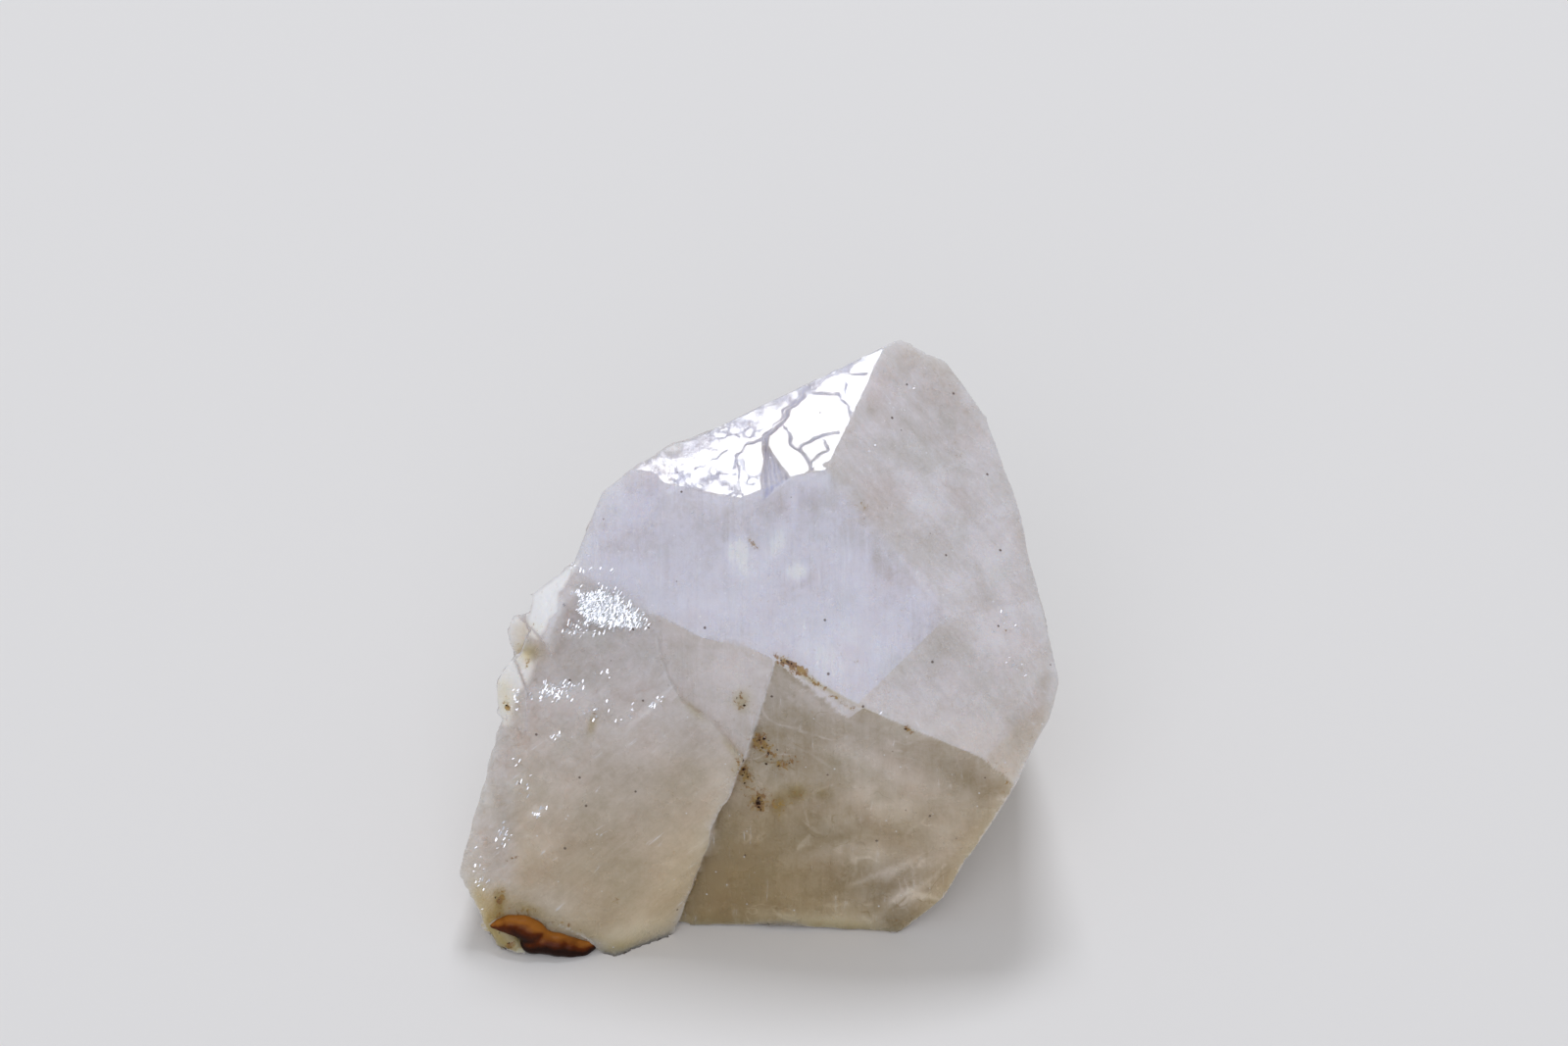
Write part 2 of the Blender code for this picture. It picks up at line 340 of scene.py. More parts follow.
# Outlines on the front, across and up in mm.
outlines = {
    "lump": ((-9.12, 3.5), (-7.1, 2.45), (-4.94, 1.2), (-4.8, -0.1), (-3.65, -2.45), (-2.26, -3.31),
             (-0.82, -5.09), (-1.15, -6.14), (-2.11, -7.87), (-2.78, -8.93), (-3.36, -11.9), (-3.79, -13.44),
             (-3.98, -15.6), (-15.98, -15.6), (-15.98, -3.6), (-12.86, -3.84), (-12.14, -3.12),
             (-11.76, -1.92), (-11.38, -0.72), (-10.8, 0.62), (-10.27, 1.63), (-9.74, 2.35)),
    "whiteChip": ((-8.78, 4.42), (-9.26, 4.08), (-9.89, 3.55), (-10.99, 2.74), (-11.01, 2.3), (-11.18, 1.75),
                  (-11.38, 0.91), (-10.8, 0.62), (-10.43, 1.12), (-10.27, 1.63), (-9.89, 1.97), (-9.81, 2.93),
                  (-9.52, 3.19), (-9.07, 3.94)),
    "shard": ((-12.19, 1.68), (-11.95, 1.92), (-11.18, 1.75), (-11.38, 0.91), (-11.8, -0.1), (-12.1, 0.53)),
    "lobe": ((-11.87, -0.24), (-12.29, -0.72), (-12.83, -1.68), (-12.91, -2.45), (-12.77, -3.26),
             (-12.29, -3.41), (-12.19, -2.83), (-12.0, -1.97), (-11.42, -1.39), (-11.14, -0.65),
             (-11.38, -0.24)),
    "notch": ((0.29, 10.08), (0.53, 10.03), (0.91, 9.36), (1.44, 8.69), (1.58, 8.54), (0.82, 7.92),
              (0.29, 7.4), (0.19, 8.4), (0.34, 9.36)),
    "wedge": ((-4.94, 1.87), (-2.88, 0.72), (-0.82, 0.67), (0.0, 0.3), (0.67, -0.24), (0.77, -1.44),
              (0.14, -3.5), (-0.24, -4.66), (-0.67, -5.23), (-0.82, -5.09), (-2.26, -3.31),
              (-3.65, -2.45), (-4.3, -1.3), (-4.8, -0.1)),
    "lowerRight": ((5.0, -2.4), (6.6, -0.95), (8.26, 0.72), (8.9, 1.25), (10.5, 1.9), (15.5, 3.0),
                   (16.0, -9.0), (12.0, -9.0), (11.2, -5.2)),
    "footBevel": ((11.23, -5.1), (12.0, -4.3), (12.96, -3.2), (14.5, -2.3), (16.0, -9.0), (12.0, -9.0)),
    "sparkle": ((-8.74, 2.64), (-7.68, 2.98), (-6.38, 2.16), (-5.62, 1.82), (-5.86, 1.25), (-7.01, 1.25),
                (-8.35, 1.49), (-8.74, 1.97)),
    "creamLobe": ((-13.58, -13.5), (-12.79, -14.3), (-12.07, -14.78), (-11.35, -14.88), (-11.38, -14.54),
                  (-11.58, -14.16), (-12.14, -13.87), (-12.72, -13.63), (-13.1, -13.3)),
}

# Short rolls of quartz that close in round the iron crust, and the lobe on the left: start, end, and
# radius in mm.
lipRolls = (
    (placeSeen(-13.2, -13.35, -1.9), placeSeen(-12.5, -14.05, -1.85), 0.4),
    (placeSeen(-12.5, -14.05, -1.85), placeSeen(-11.6, -14.5, -1.75), 0.38),
    (placeSeen(-12.9, -13.15, -1.98), placeSeen(-10.8, -13.2, -1.95), 0.5),
    (placeSeen(-10.8, -13.2, -1.95), placeSeen(-9.2, -13.7, -2.05), 0.5),
    (placeSeen(-9.2, -13.7, -2.05), placeSeen(-7.7, -14.1, -2.1), 0.45),
    (placeSeen(-12.2, -1.35, 1.7), placeSeen(-12.2, -2.8, 1.3), 0.62),
)

# The quartz's left edge between its chips and the lobe: up, and how far left it reaches, in mm.
leftEdge = (
    (2.78, -10.99), (1.87, -11.14), (1.8, -11.95), (1.63, -12.19), (1.0, -12.21), (0.5, -12.1),
    (-0.1, -11.81), (-0.24, -11.87), (-0.72, -12.29), (-1.2, -12.58), (-1.68, -12.83), (-2.45, -12.91),
    (-2.93, -12.86), (-3.26, -12.77), (-3.55, -12.67), (-4.22, -12.93), (-4.42, -12.93),
)

# Edge of the lump where it stands proud of the wedge beside it, across and up in mm.
wedgeStep = ((-4.9, 0.6), (-4.8, -0.1), (-4.3, -1.3), (-3.65, -2.45), (-2.26, -3.31), (-0.82, -5.09))

# Ridges on the front that are worn round, and the edges beside them that stay sharp.
ridges = {
    "crest": ((3.9, 8.2), (9.4, 2.0)),
    "seam": ((-0.45, 7.9), (-0.5, 2.6)),
    "roll": ((-9.4, 3.7), (-7.1, 2.5), (-5.3, 1.5)),
    "heel": ((-2.2, -9.4), (-4.6, -12.0), (-6.8, -14.7)),
    "heelEdge": ((-0.9, -6.1), (-2.2, -8.6), (-2.9, -10.5), (-3.8, -14.0)),
    "lips": ((-12.9, -13.9), (-11.6, -14.5), (-10.5, -13.6), (-7.8, -14.2)),
    "glossFoot": ((-12, 9), (-0.5, 8.3), (3.4, 8.6)),
    "middleFoot": ((-4.4, 1.5), (-2.9, 0.7), (4.8, -2.5)),
    "glossRim": ((-5.6, 9.0), (-3.3, 10.2), (0.5, 12.1), (6.3, 15.0)),
    "wedgeSides": ((0.7, -0.3), (0.2, -3.4), (-0.7, -5.3), (-3.4, -11.9)),
}

# Where one face meets the next so crisply that the mesh is finest there.
crispEdges = (
    wedgeStep,
    ((-2.88, 0.72), (-0.82, 0.67), (0.0, 0.3), (0.67, -0.24), (0.77, -1.44), (0.14, -3.5), (-0.67, -5.23)),
    ((5.0, -2.4), (6.6, -0.95), (8.26, 0.72), (8.9, 1.25)),
    ((0.67, -0.24), (2.9, -1.5), (5.0, -2.6), (11.2, -5.2)),
    ((0.1, -7.25), (0.1, -7.65)),
)

# Nubs on the far rim of the glossy top face: across, up, radius and height in mm.
rimNubs = ((-4.2, 9.95, 0.5, 0.17), (1.3, 12.8, 0.13, 0.1), (3.65, 13.85, 0.2, 0.1))

# Curved cracks in the broken foot, the dark ones open and the light ones healed: path, half width in mm,
# and strength.
crackLines = (
    (((2.0, -8.2), (2.6, -8.85), (3.1, -9.1), (3.9, -9.3), (4.6, -9.15)), 0.13, -0.75),
    (((1.6, -7.6), (2.3, -8.35), (2.9, -8.8), (3.6, -8.95)), 0.14, 0.35),
    (((2.75, -6.95), (3.2, -6.65), (3.65, -6.5)), 0.12, 0.4),
    (((4.85, -10.1), (4.8, -10.8), (4.6, -11.5)), 0.14, 0.3),
    (((6.2, -9.2), (7.1, -9.0), (7.9, -8.5)), 0.12, 0.25),
    (((6.4, -12.3), (7.2, -11.6), (8.3, -11.3), (9.2, -10.4)), 0.14, 0.3),
    (((6.5, -12.6), (7.4, -11.9), (8.5, -11.6)), 0.12, -0.55),
    (((1.5, -4.6), (2.5, -4.9), (3.6, -5.7)), 0.12, 0.25),
)

# Grooves between the growth plates of the glossy top face: path, half width and depth in mm.
plateGrooves = (
    (((2.5, 13.01), (2.11, 12.38), (1.68, 11.86), (1.2, 11.23), (0.96, 11.04), (0.48, 10.66),
      (0.38, 10.18), (0.29, 9.7)), 0.1, 0.05),
    (((2.35, 13.06), (1.96, 12.43), (1.5, 11.9), (1.05, 11.3), (0.36, 10.74), (0.2, 10.2)), 0.05, 0.03),
    (((2.59, 12.72), (2.88, 12.62), (4.03, 12.62), (4.13, 12.34), (4.42, 12.1), (4.56, 11.71)), 0.05, 0.025),
    (((1.15, 11.14), (1.44, 10.9), (1.63, 10.56), (1.68, 10.08), (2.02, 9.94), (2.4, 10.18),
      (3.12, 10.56), (3.7, 10.7), (4.03, 10.66)), 0.05, 0.025),
    (((2.02, 9.94), (2.35, 9.6), (2.59, 9.22), (2.69, 8.93)), 0.08, 0.04),
    (((2.69, 9.22), (2.98, 9.5), (3.36, 9.84), (3.41, 9.98), (3.31, 10.32), (3.17, 10.46)), 0.045, 0.025),
    (((4.32, 13.68), (5.47, 13.58)), 0.045, 0.02),
    (((4.32, 13.87), (4.37, 12.58)), 0.04, 0.015),
    (((0.34, 10.46), (-0.14, 10.37), (-0.53, 10.08), (-0.77, 9.74), (-1.1, 9.26), (-1.25, 8.98)),
     0.05, 0.018),
    (((-1.1, 8.74), (-1.58, 8.64), (-2.06, 8.69), (-2.21, 8.4)), 0.045, 0.018),
    (((-1.01, 9.26), (-0.96, 8.54), (-0.77, 7.68)), 0.04, 0.015),
    (((-3.0, 8.9), (-2.5, 9.3), (-1.9, 9.4), (-1.5, 9.9)), 0.04, 0.012),
    (((-2.3, 8.2), (-1.9, 8.6), (-2.0, 9.0)), 0.035, 0.01),
)

# Cloudy bubbles and clearer spots in each face, with painted light and shade among them: across, up, two
# radii in mm, turn in degrees, strength.
cloudAndShadeSpots = {
    # Low on the middle face by the ridge, (4.4, 0.4) is painted glow of light through the stone.
    "middle": (
        (4.4, 0.4, 2.3, 1.6, -30, 0.5), (5.9, 4.6, 2.0, 0.7, -40, -0.3), (2.9, 8.3, 1.1, 0.45, -20, 0.2),
        (-4.9, 6.9, 2.0, 0.8, 10, -0.15), (2.2, 7.3, 1.2, 0.6, 0, -0.15), (-6.5, 3.9, 1.5, 0.8, 0, 0.2),
        (7.6, 3.9, 2.6, 0.1, -50, 0.35), (7.9, 4.2, 2.6, 0.12, -50, -0.3), (7.2, 3.6, 2.4, 0.1, -50, 0.25),
        (-5.9, 5.5, 1.6, 1.3, 0, -0.2), (1.6, 3.1, 2.0, 1.4, 0, -0.15), (6.6, 0.9, 1.6, 0.8, 45, 0.25),
    ),
    "right": (
        (9.3, 11.9, 1.8, 2.0, 0, -0.15), (8.4, 7.15, 1.1, 0.4, -8, 0.35), (9.6, 3.8, 0.9, 1.4, 0, 0.2),
        (5.2, 11.6, 0.9, 0.5, 30, -0.25), (5.0, 6.6, 0.9, 0.6, 0, -0.25), (11.2, 5.5, 0.8, 1.8, 10, 0.15),
        (10.2, 7.0, 1.3, 1.3, 0, -0.15), (7.5, 14.4, 1.4, 1.0, 0, -0.12), (12.6, 6.8, 0.3, 3.6, 17, -0.25),
    ),
    "lowerRight": (
        (9.5, 0.9, 1.3, 1.1, 20, -0.3), (11.6, 0.6, 0.8, 0.7, 0, 0.25), (12.9, -3.7, 0.8, 1.4, 35, -0.3),
        (8.0, -2.3, 1.2, 0.8, 0, 0.1), (14.1, -1.2, 0.35, 3.2, -8, -0.3), (12.3, -5.2, 0.9, 1.2, 35, -0.08),
    ),
    "wedge": (
        (-1.28, -0.95, 0.8, 0.65, 0, 0.4), (-0.6, -3.6, 0.7, 1.0, 0, -0.1), (0.3, -1.0, 0.4, 0.12, 15, 0.5),
        (-3.6, 0.4, 0.9, 0.5, 0, -0.15),
    ),
    # On the under face, (-1.6, -10.8) beside the lump is painted shade, and (3.9, -13.2) along the lower edge
    # is a painted lit rim.
    "under": (
        (2.1, -1.9, 0.9, 0.14, -35, 0.45), (1.7, -2.3, 0.9, 0.1, -35, 0.35), (4.7, -4.9, 1.5, 0.5, -20, 0.35),
        (7.2, -6.3, 1.9, 0.8, -25, 0.4), (5.1, -7.0, 0.6, 0.8, 0, 0.3), (-1.6, -10.8, 2.0, 2.6, 0, -0.95),
        (3.4, -11.3, 3.4, 0.9, 0, -0.35), (3.9, -13.2, 3.0, 0.35, -3, 1.1), (7.6, -11.9, 0.9, 0.3, 8, 0.5),
        (8.8, -8.6, 0.9, 1.3, 0, 0.25), (9.9, -7.9, 1.2, 0.9, 40, 0.25), (3.9, -9.1, 0.8, 0.2, 15, -0.25),
        (1.2, -8.7, 1.4, 0.9, 0, -0.3), (6.3, -7.7, 1.3, 0.6, -10, 0.4), (9.0, -10.0, 1.1, 0.8, 30, 0.35),
        (10.5, -6.4, 1.6, 0.5, -30, -0.3), (6.0, -9.9, 2.4, 0.4, -12, 0.3), (1.2, -0.4, 1.2, 0.5, -35, -0.3),
        (6.9, -13.1, 0.8, 0.4, 15, -1.3), (2.9, -2.7, 0.8, 0.25, -35, 0.25), (4.6, -3.4, 0.9, 0.15, -30, 0.3),
        (5.6, -11.0, 1.4, 0.12, 20, 0.5), (7.4, -10.6, 1.0, 0.1, 35, -0.4),
    ),
    # On the lump, (-8.2, -9.6) is painted shade on its lower part, and (-5.6, -13.6) and (-7.4, -14.3) along
    # its lower edge are painted lit rims.
    "lump": (
        (-8.2, -9.6, 3.2, 2.6, 30, -0.25), (-3.7, -6.6, 1.3, 3.2, -20, -0.2), (-10.4, -9.3, 1, 1.2, 0, 0.25),
        (-5.6, -13.6, 2.4, 0.6, 15, 0.4), (-9.5, -2.6, 1.4, 1.0, 0, 0.3), (-5.0, -2.2, 1.3, 0.7, 30, 0.1),
        (-4.9, -2.4, 0.9, 0.05, 45, 0.9), (-5.4, -2.9, 0.8, 0.05, 43, 0.8), (-5.9, -3.2, 0.6, 0.05, 50, 0.8),
        (-3.6, -1.8, 0.7, 0.05, 42, 0.6), (-10.9, -7.8, 0.6, 0.25, 30, 0.7), (-9.9, -2.1, 1.3, 0.6, 0, 0.45),
        (-7.4, -14.3, 2.0, 0.5, 20, 0.35), (-10.2, -12.3, 1.6, 0.8, 0, 0.25),
        (-13.4, -11.5, 0.4, 1.6, 15, 0.2),
    ),
}

# Bright streaky veils under the middle face, with one painted glow, the same way.
veilAndGlowSpots = (
    (-0.95, 4.85, 0.45, 0.55, 0, 1.9), (1.0, 5.3, 0.3, 0.8, -25, 1.4), (1.94, 3.95, 0.45, 0.35, 20, 1.5),
    (1.7, 7.4, 0.25, 0.5, 0, 0.35), (-0.5, 3.9, 0.5, 0.3, 0, 0.5), (4.6, 4.2, 0.9, 1.3, 0, 0.35),
    # (3.6, -0.6), low by the ridge, is painted glow of light coming through the stone.
    (3.6, -0.6, 1.6, 0.6, -35, 0.45), (-2.0, 2.2, 1.8, 0.5, 0, 0.2),
)

# Where iron oxide has soaked in or settled, the same way.
stainSpots = (
    (1.2, -0.4, 0.5, 0.22, -30, 1.0), (1.95, -0.85, 0.6, 0.3, -30, 0.85), (2.9, -1.5, 0.6, 0.16, -34, 0.7),
    (3.9, -2.3, 0.7, 0.16, -38, 0.6), (4.7, -2.8, 0.5, 0.14, -30, 0.5), (0.1, -4.3, 0.4, 0.5, 0, 0.95),
    (0.7, -5.1, 0.8, 0.4, -40, 0.72), (1.45, -5.45, 0.6, 0.22, 10, 0.5), (1.87, -5.14, 0.3, 0.2, 0, 0.45),
    (-0.66, -5.9, 0.5, 0.7, 20, 0.95), (0.05, -7.3, 0.55, 0.6, 0, 0.8), (0.09, -7.45, 0.15, 0.26, 8, 1.6),
    (1.0, -7.6, 0.3, 0.55, 0, 0.5), (1.85, -7.1, 0.6, 0.4, 15, 0.4), (3.5, -7.0, 0.4, 0.2, 0, 0.3),
    (-0.77, -2.4, 0.4, 0.5, 0, 0.6), (-0.24, 5.33, 0.2, 0.45, 30, 0.5), (0.5, 7.0, 0.12, 0.2, 0, 0.4),
    (-12.6, -12.0, 0.24, 0.4, 5, 0.8), (-12.7, -12.9, 0.14, 0.7, 0, 0.6), (-12.29, -2.64, 0.2, 0.36, 10, 0.8),
    (-12.2, -14.5, 0.4, 0.3, 30, 1.0), (-11.3, -0.5, 0.12, 0.5, 0, 0.6), (-10.7, 1.2, 0.5, 0.4, 30, 0.3),
    (-11.4, -12.7, 0.9, 0.3, -15, 0.42), (7.4, -3.8, 0.34, 0.2, -25, 0.7), (-9.2, -13.5, 1.6, 0.2, -18, 0.35),
    (-8.13, -3.3, 0.12, 0.45, -15, 0.6), (-4.7, -0.6, 0.14, 0.8, -12, 0.3), (-4.6, -2.45, 0.16, 0.14, 0, 0.6),
    (-11.97, -10.1, 0.15, 0.13, 0, 0.85), (6.9, -13.2, 0.4, 0.2, 10, 0.35),
    (4.87, -0.45, 0.16, 0.14, 0, 0.5), (-1.9, 2.2, 0.12, 0.12, 0, 0.4), (5.15, 7.1, 0.4, 0.22, 0, 0.45),
    (5.1, 6.35, 0.4, 0.18, -10, 0.42),
    (9.9, 9.6, 0.4, 0.6, 0, 0.25), (12.2, 1.1, 0.2, 0.16, 0, 0.5), (-7.0, -12.2, 0.3, 0.3, 0, 0.3),
    (12.0, -6.0, 0.4, 1.1, 35, 0.28), (-11.9, 0.1, 0.6, 0.35, 20, 0.4), (-12.9, -3.2, 0.3, 0.3, 0, 0.35),
)

# Where the foot stays greyer, the same way.
greySpots = (
    (6.4, -11.3, 2.2, 1.4, 0, 0.5), (9.2, -9.8, 1.6, 1.4, 0, 0.18), (-10.2, -12.2, 1.6, 0.9, 0, 0.22),
    (3.4, -9.4, 2.2, 1.4, 0, 0.22), (6.9, -13.0, 1.0, 0.6, 15, 0.5),
)

# Where the broken foot is wavy, the same way.
waveSpots = (
    (6.6, -11.6, 2.4, 1.1, 22, 1.0), (8.6, -10.2, 1.4, 0.8, 35, 0.7), (3.2, -8.6, 1.4, 0.8, 10, 0.6),
    (6.4, -7.4, 2.0, 0.8, -10, 0.35),
)

# Soft yellow seep with no grains in it, and the warm colour of a painted lit rim, the same way.
seepAndLitRimSpots = (
    (1.0, -7.5, 0.4, 0.6, 0, 1.0), (1.9, -6.9, 0.55, 0.42, 15, 1.0), (-12.7, -12.6, 0.5, 0.9, 0, 0.6),
    (-11.2, -12.6, 0.9, 0.3, -15, 0.7), (-11.2, 0.0, 0.7, 0.5, 0, 0.8), (-13.0, -13.2, 0.5, 0.5, 0, 0.7),
    (-3.1, -2.9, 0.8, 0.2, -40, 0.5), (-1.3, -4.7, 0.7, 0.2, -50, 0.5), (-9.2, -13.6, 2.0, 0.25, -16, 0.5),
    # (3.4, -13.4), along the under face's lower edge, warms the painted lit rim there.
    (-12.4, -14.2, 1.1, 0.6, -40, 1.0), (3.4, -13.4, 3.4, 0.3, -2, 0.5), (-8.1, -3.6, 0.2, 0.5, -15, 0.6),
    (-7.0, -14.6, 2.4, 0.4, 18, 0.6), (-13.6, -12.0, 0.4, 0.9, 10, 0.5), (-12.5, -2.0, 0.6, 1.4, 10, 0.4),
    (3.2, -6.95, 0.35, 0.3, 0, 0.6), (-11.5, 1.1, 0.6, 0.5, 30, 0.3), (-0.77, -2.4, 0.4, 0.5, 0, 0.6),
    (6.9, -13.2, 0.7, 0.3, 15, 0.15), (-12.65, -12.3, 0.2, 0.8, 0, 0.8), (2.4, -1.2, 0.8, 0.14, -35, 0.7),
    (3.7, -1.97, 0.8, 0.1, -31, 0.5), (5.2, -2.75, 0.8, 0.08, -27, 0.3), (0.1, -4.3, 0.4, 0.45, 0, 0.5),
    (-0.66, -5.9, 0.4, 0.6, 20, 0.5),
)

# Where small steps lie level with the gloss face and flash with it, the same way.
flashSpots = (
    (-7.5, 2.35, 0.8, 0.55, -20, 1.15), (-6.9, 2.0, 0.9, 0.45, -25, 1.05), (-6.0, 1.6, 0.45, 0.35, -10, 0.75),
    (-8.9, 2.9, 0.4, 0.12, 0, 0.6), (-8.8, 0.95, 0.9, 0.3, 0, 0.28), (-8.6, 1.4, 0.5, 0.15, 0, 0.3),
    (-10.0, -1.95, 0.7, 0.34, 0, 0.4), (-9.2, -1.75, 0.6, 0.2, 10, 0.3), (-9.9, -4.05, 0.2, 0.09, 0, 0.6),
    (-9.0, -4.05, 0.14, 0.09, 0, 0.6), (-8.3, -2.7, 0.8, 0.5, 0, 0.06), (-4.9, -2.4, 0.6, 0.06, 45, 0.5),
    (-6.3, -3.0, 0.6, 0.08, 45, 0.3), (-12.6, -8.9, 0.35, 0.6, 10, 0.2), (-10.7, -7.85, 0.3, 0.15, 25, 0.3),
    (-5.6, -2.95, 0.5, 0.06, 45, 0.4), (-7.4, -1.1, 0.3, 0.4, -30, 0.14), (-8.0, 4.1, 0.8, 0.12, 0, 0.12),
    (-13.6, -11.0, 0.2, 1.2, 10, 0.1), (-11.9, -2.3, 0.12, 0.5, 0, 0.3), (11.4, 1.15, 0.9, 0.25, 0, 0.04),
    (12.3, 2.0, 0.3, 0.2, 0, 0.05), (9.4, 1.9, 0.5, 0.1, 20, 0.06), (12.6, -0.6, 0.5, 0.3, 20, 0.05),
    (-1.2, 0.72, 1.2, 0.04, 0, 0.08), (6.2, -3.0, 0.8, 0.1, -28, 0.06), (-2.9, 6.8, 0.4, 0.1, 10, 0.1),
    (-9.3, 4.2, 0.25, 0.12, 0, 0.2), (5.5, 9.9, 0.4, 0.3, 0, 0.04), (7.4, 12.6, 0.3, 0.3, 0, 0.04),
    (2.5, 9.1, 0.5, 0.05, 15, 0.15), (-11.6, -6.0, 0.3, 1.0, 10, 0.05),
)


# Soft oval spots added up over the front.
def spotField(across, up, spots):
    total = np.zeros(len(across))
    for middleAcross, middleUp, halfWide, halfTall, turn, strength in spots:
        angle = math.radians(turn)
        aside = (across - middleAcross) * math.cos(angle) + (up - middleUp) * math.sin(angle)
        above = (up - middleUp) * math.cos(angle) - (across - middleAcross) * math.sin(angle)
        total += strength * np.exp(-((aside / halfWide) ** 2) - (above / halfTall) ** 2)
    return total


# Halves the edges of the wanted faces.
def subdivided(shape, wanted):
    edges = {edge for face, chosen in zip(shape.faces, wanted) if chosen for edge in face.edges}
    bmesh.ops.subdivide_edges(shape, edges=list(edges), cuts=1, use_grid_fill=True)
    manySided = [face for face in shape.faces if len(face.verts) > 4]
    bmesh.ops.triangulate(shape, faces=manySided)


# A closed roll with round ends, added to the shape.
def addRoll(shape, start, end, radius):
    start = Vector(start)
    end = Vector(end)
    turn = (end - start).to_track_quat("Z", "Y").to_matrix().to_4x4()
    place = Matrix.Translation((start + end) / 2) @ turn
    made = bmesh.ops.create_uvsphere(shape, u_segments=24, v_segments=12, radius=radius, matrix=place)
    along = (end - start).normalized()
    for corner in made["verts"]:
        side = 1 if (corner.co - (start + end) / 2).dot(along) > 0 else -1
        corner.co += side * (end - start) / 2


# A mesh of even cells over everything in the shape, joined where parts overlap.
def evenMesh(shape, cell):
    plain = bpy.data.meshes.new("plain")
    shape.to_mesh(plain)
    shape.free()
    solid = newObject("solid", plain)
    remesh = solid.modifiers.new("even_cells", "REMESH")
    remesh.mode = "VOXEL"
    remesh.voxel_size = cell
    even = evaluatedMesh(solid)
    bpy.data.objects.remove(solid)
    return even


# Even cells over the CAD solid, finer along its edges and on its showy faces, laid back on its faces.
def refinedQuartz():
    shape = mergedCopy("quartz_cluster")
    cadTree = BVHTree.FromBMesh(shape)
    edgeTree = treeOf(sharpEdgePoints(shape, quartz["edgeAngle"]))
    for start, end, radius in lipRolls:
        addRoll(shape, start, end, radius)
    even = evenMesh(shape, quartz["cell"])
    shape = bmesh.new()
    shape.from_mesh(even)
    for level, (nearCrisp, nearCrack) in enumerate(zip(quartz["detailNearCrisp"], quartz["detailNearCrack"])):
        centres = np.array([face.calc_center_median() for face in shape.faces])
        normals = np.array([face.normal for face in shape.faces])
        across, up, _ = seenPlaces(centres)
        facing = normals @ outOfFront
        wanted = (normals @ np.array(faceDirections["gloss"]) > 0.95) & (up > 6.5)
        if level == 0:
            wanted |= (distanceTo(edgeTree, centres) < quartz["detailNearEdge"]) & (facing > 0.1)
            wanted |= (across < -7.6) & (up > -4.0) & (facing > 0.2)  # the chips and the lobe on the left
            wanted |= (across < -7.2) & (up < -12.3) & (facing > 0.0)  # round the crust
        for path in crispEdges:
            wanted |= (pathDistance(across, up, path) < nearCrisp) & (facing > 0.3)
        for path, halfWidth, _ in crackLines:
            wanted |= (pathDistance(across, up, path) < halfWidth + nearCrack) & (facing > 0.1)
        subdivided(shape, wanted)
    cadNormals = np.zeros((len(shape.verts), 3))
    for number, corner in enumerate(shape.verts):
        nearest, cadNormals[number], _, distance = cadTree.find_nearest(corner.co)
        if distance < quartz["layBack"] * quartz["cell"]:
            corner.co = nearest
        else:
            cadNormals[number] = corner.normal
    fine = bpy.data.meshes.new("quartz_specimen")
    shape.to_mesh(fine)
    shape.free()
    return fine, edgeTree, cadNormals


# The name number of the face that each point lies on, or -1 on the back and sides.
def faceNumbers(cadNormals):
    likeness = cadNormals @ np.array(list(faceDirections.values())).T
    return np.where(likeness.max(axis=1) > 0.96, likeness.argmax(axis=1), -1)


# Zones of the surface, each a share from 0 to 1 at every point, and the painted light and shade that they
# give the stone.
def surfaceZones(across, up, cadNormals):
    facing = cadNormals @ outOfFront
    front = ramp(facing, 0.15, 0.4)
    hidden = 1.0 - ramp(facing, -0.1, 0.25)
    numbers = faceNumbers(cadNormals)
    names = list(faceDirections)

    def onFaces(*chosen):
        return np.isin(numbers, [names.index(name) for name in chosen]) * 1.0

    def insideOutline(name):
        return ramp(depthInside(across, up, outlines[name]), -0.05, 0.05)

    under = onFaces("underLeft", "underRight") * (across > -3.9) * (up < 0.2)
    middle = onFaces("middleLeft", "middleRight")
    lowerRight = insideOutline("lowerRight") * (1 - under) * front
    middle *= 1 - lowerRight
    right = onFaces("right", "lowerRight") * (1 - lowerRight)
    wedge = insideOutline("wedge") * (1 - under) * front
    wedge *= np.maximum(onFaces("wedge"), 1 - middle)
    lump = front * (depthInside(across, up, outlines["lump"]) > -0.7) * (across < 0)
    lump *= (1 - under) * (1 - middle) * (1 - wedge)
    zones = {"gloss": onFaces("gloss"), "right": right, "middle": middle, "lowerRight": lowerRight,
             "wedge": wedge, "under": under, "lump": lump}
    # Painted shade: each face is made lighter or darker by how it turns to the lamps.
    zones["tone"] = quartz["hiddenTone"] * hidden
    for name, tone in quartz["tones"].items():
        zones["tone"] += tone * zones[name]
    return front, hidden, zones


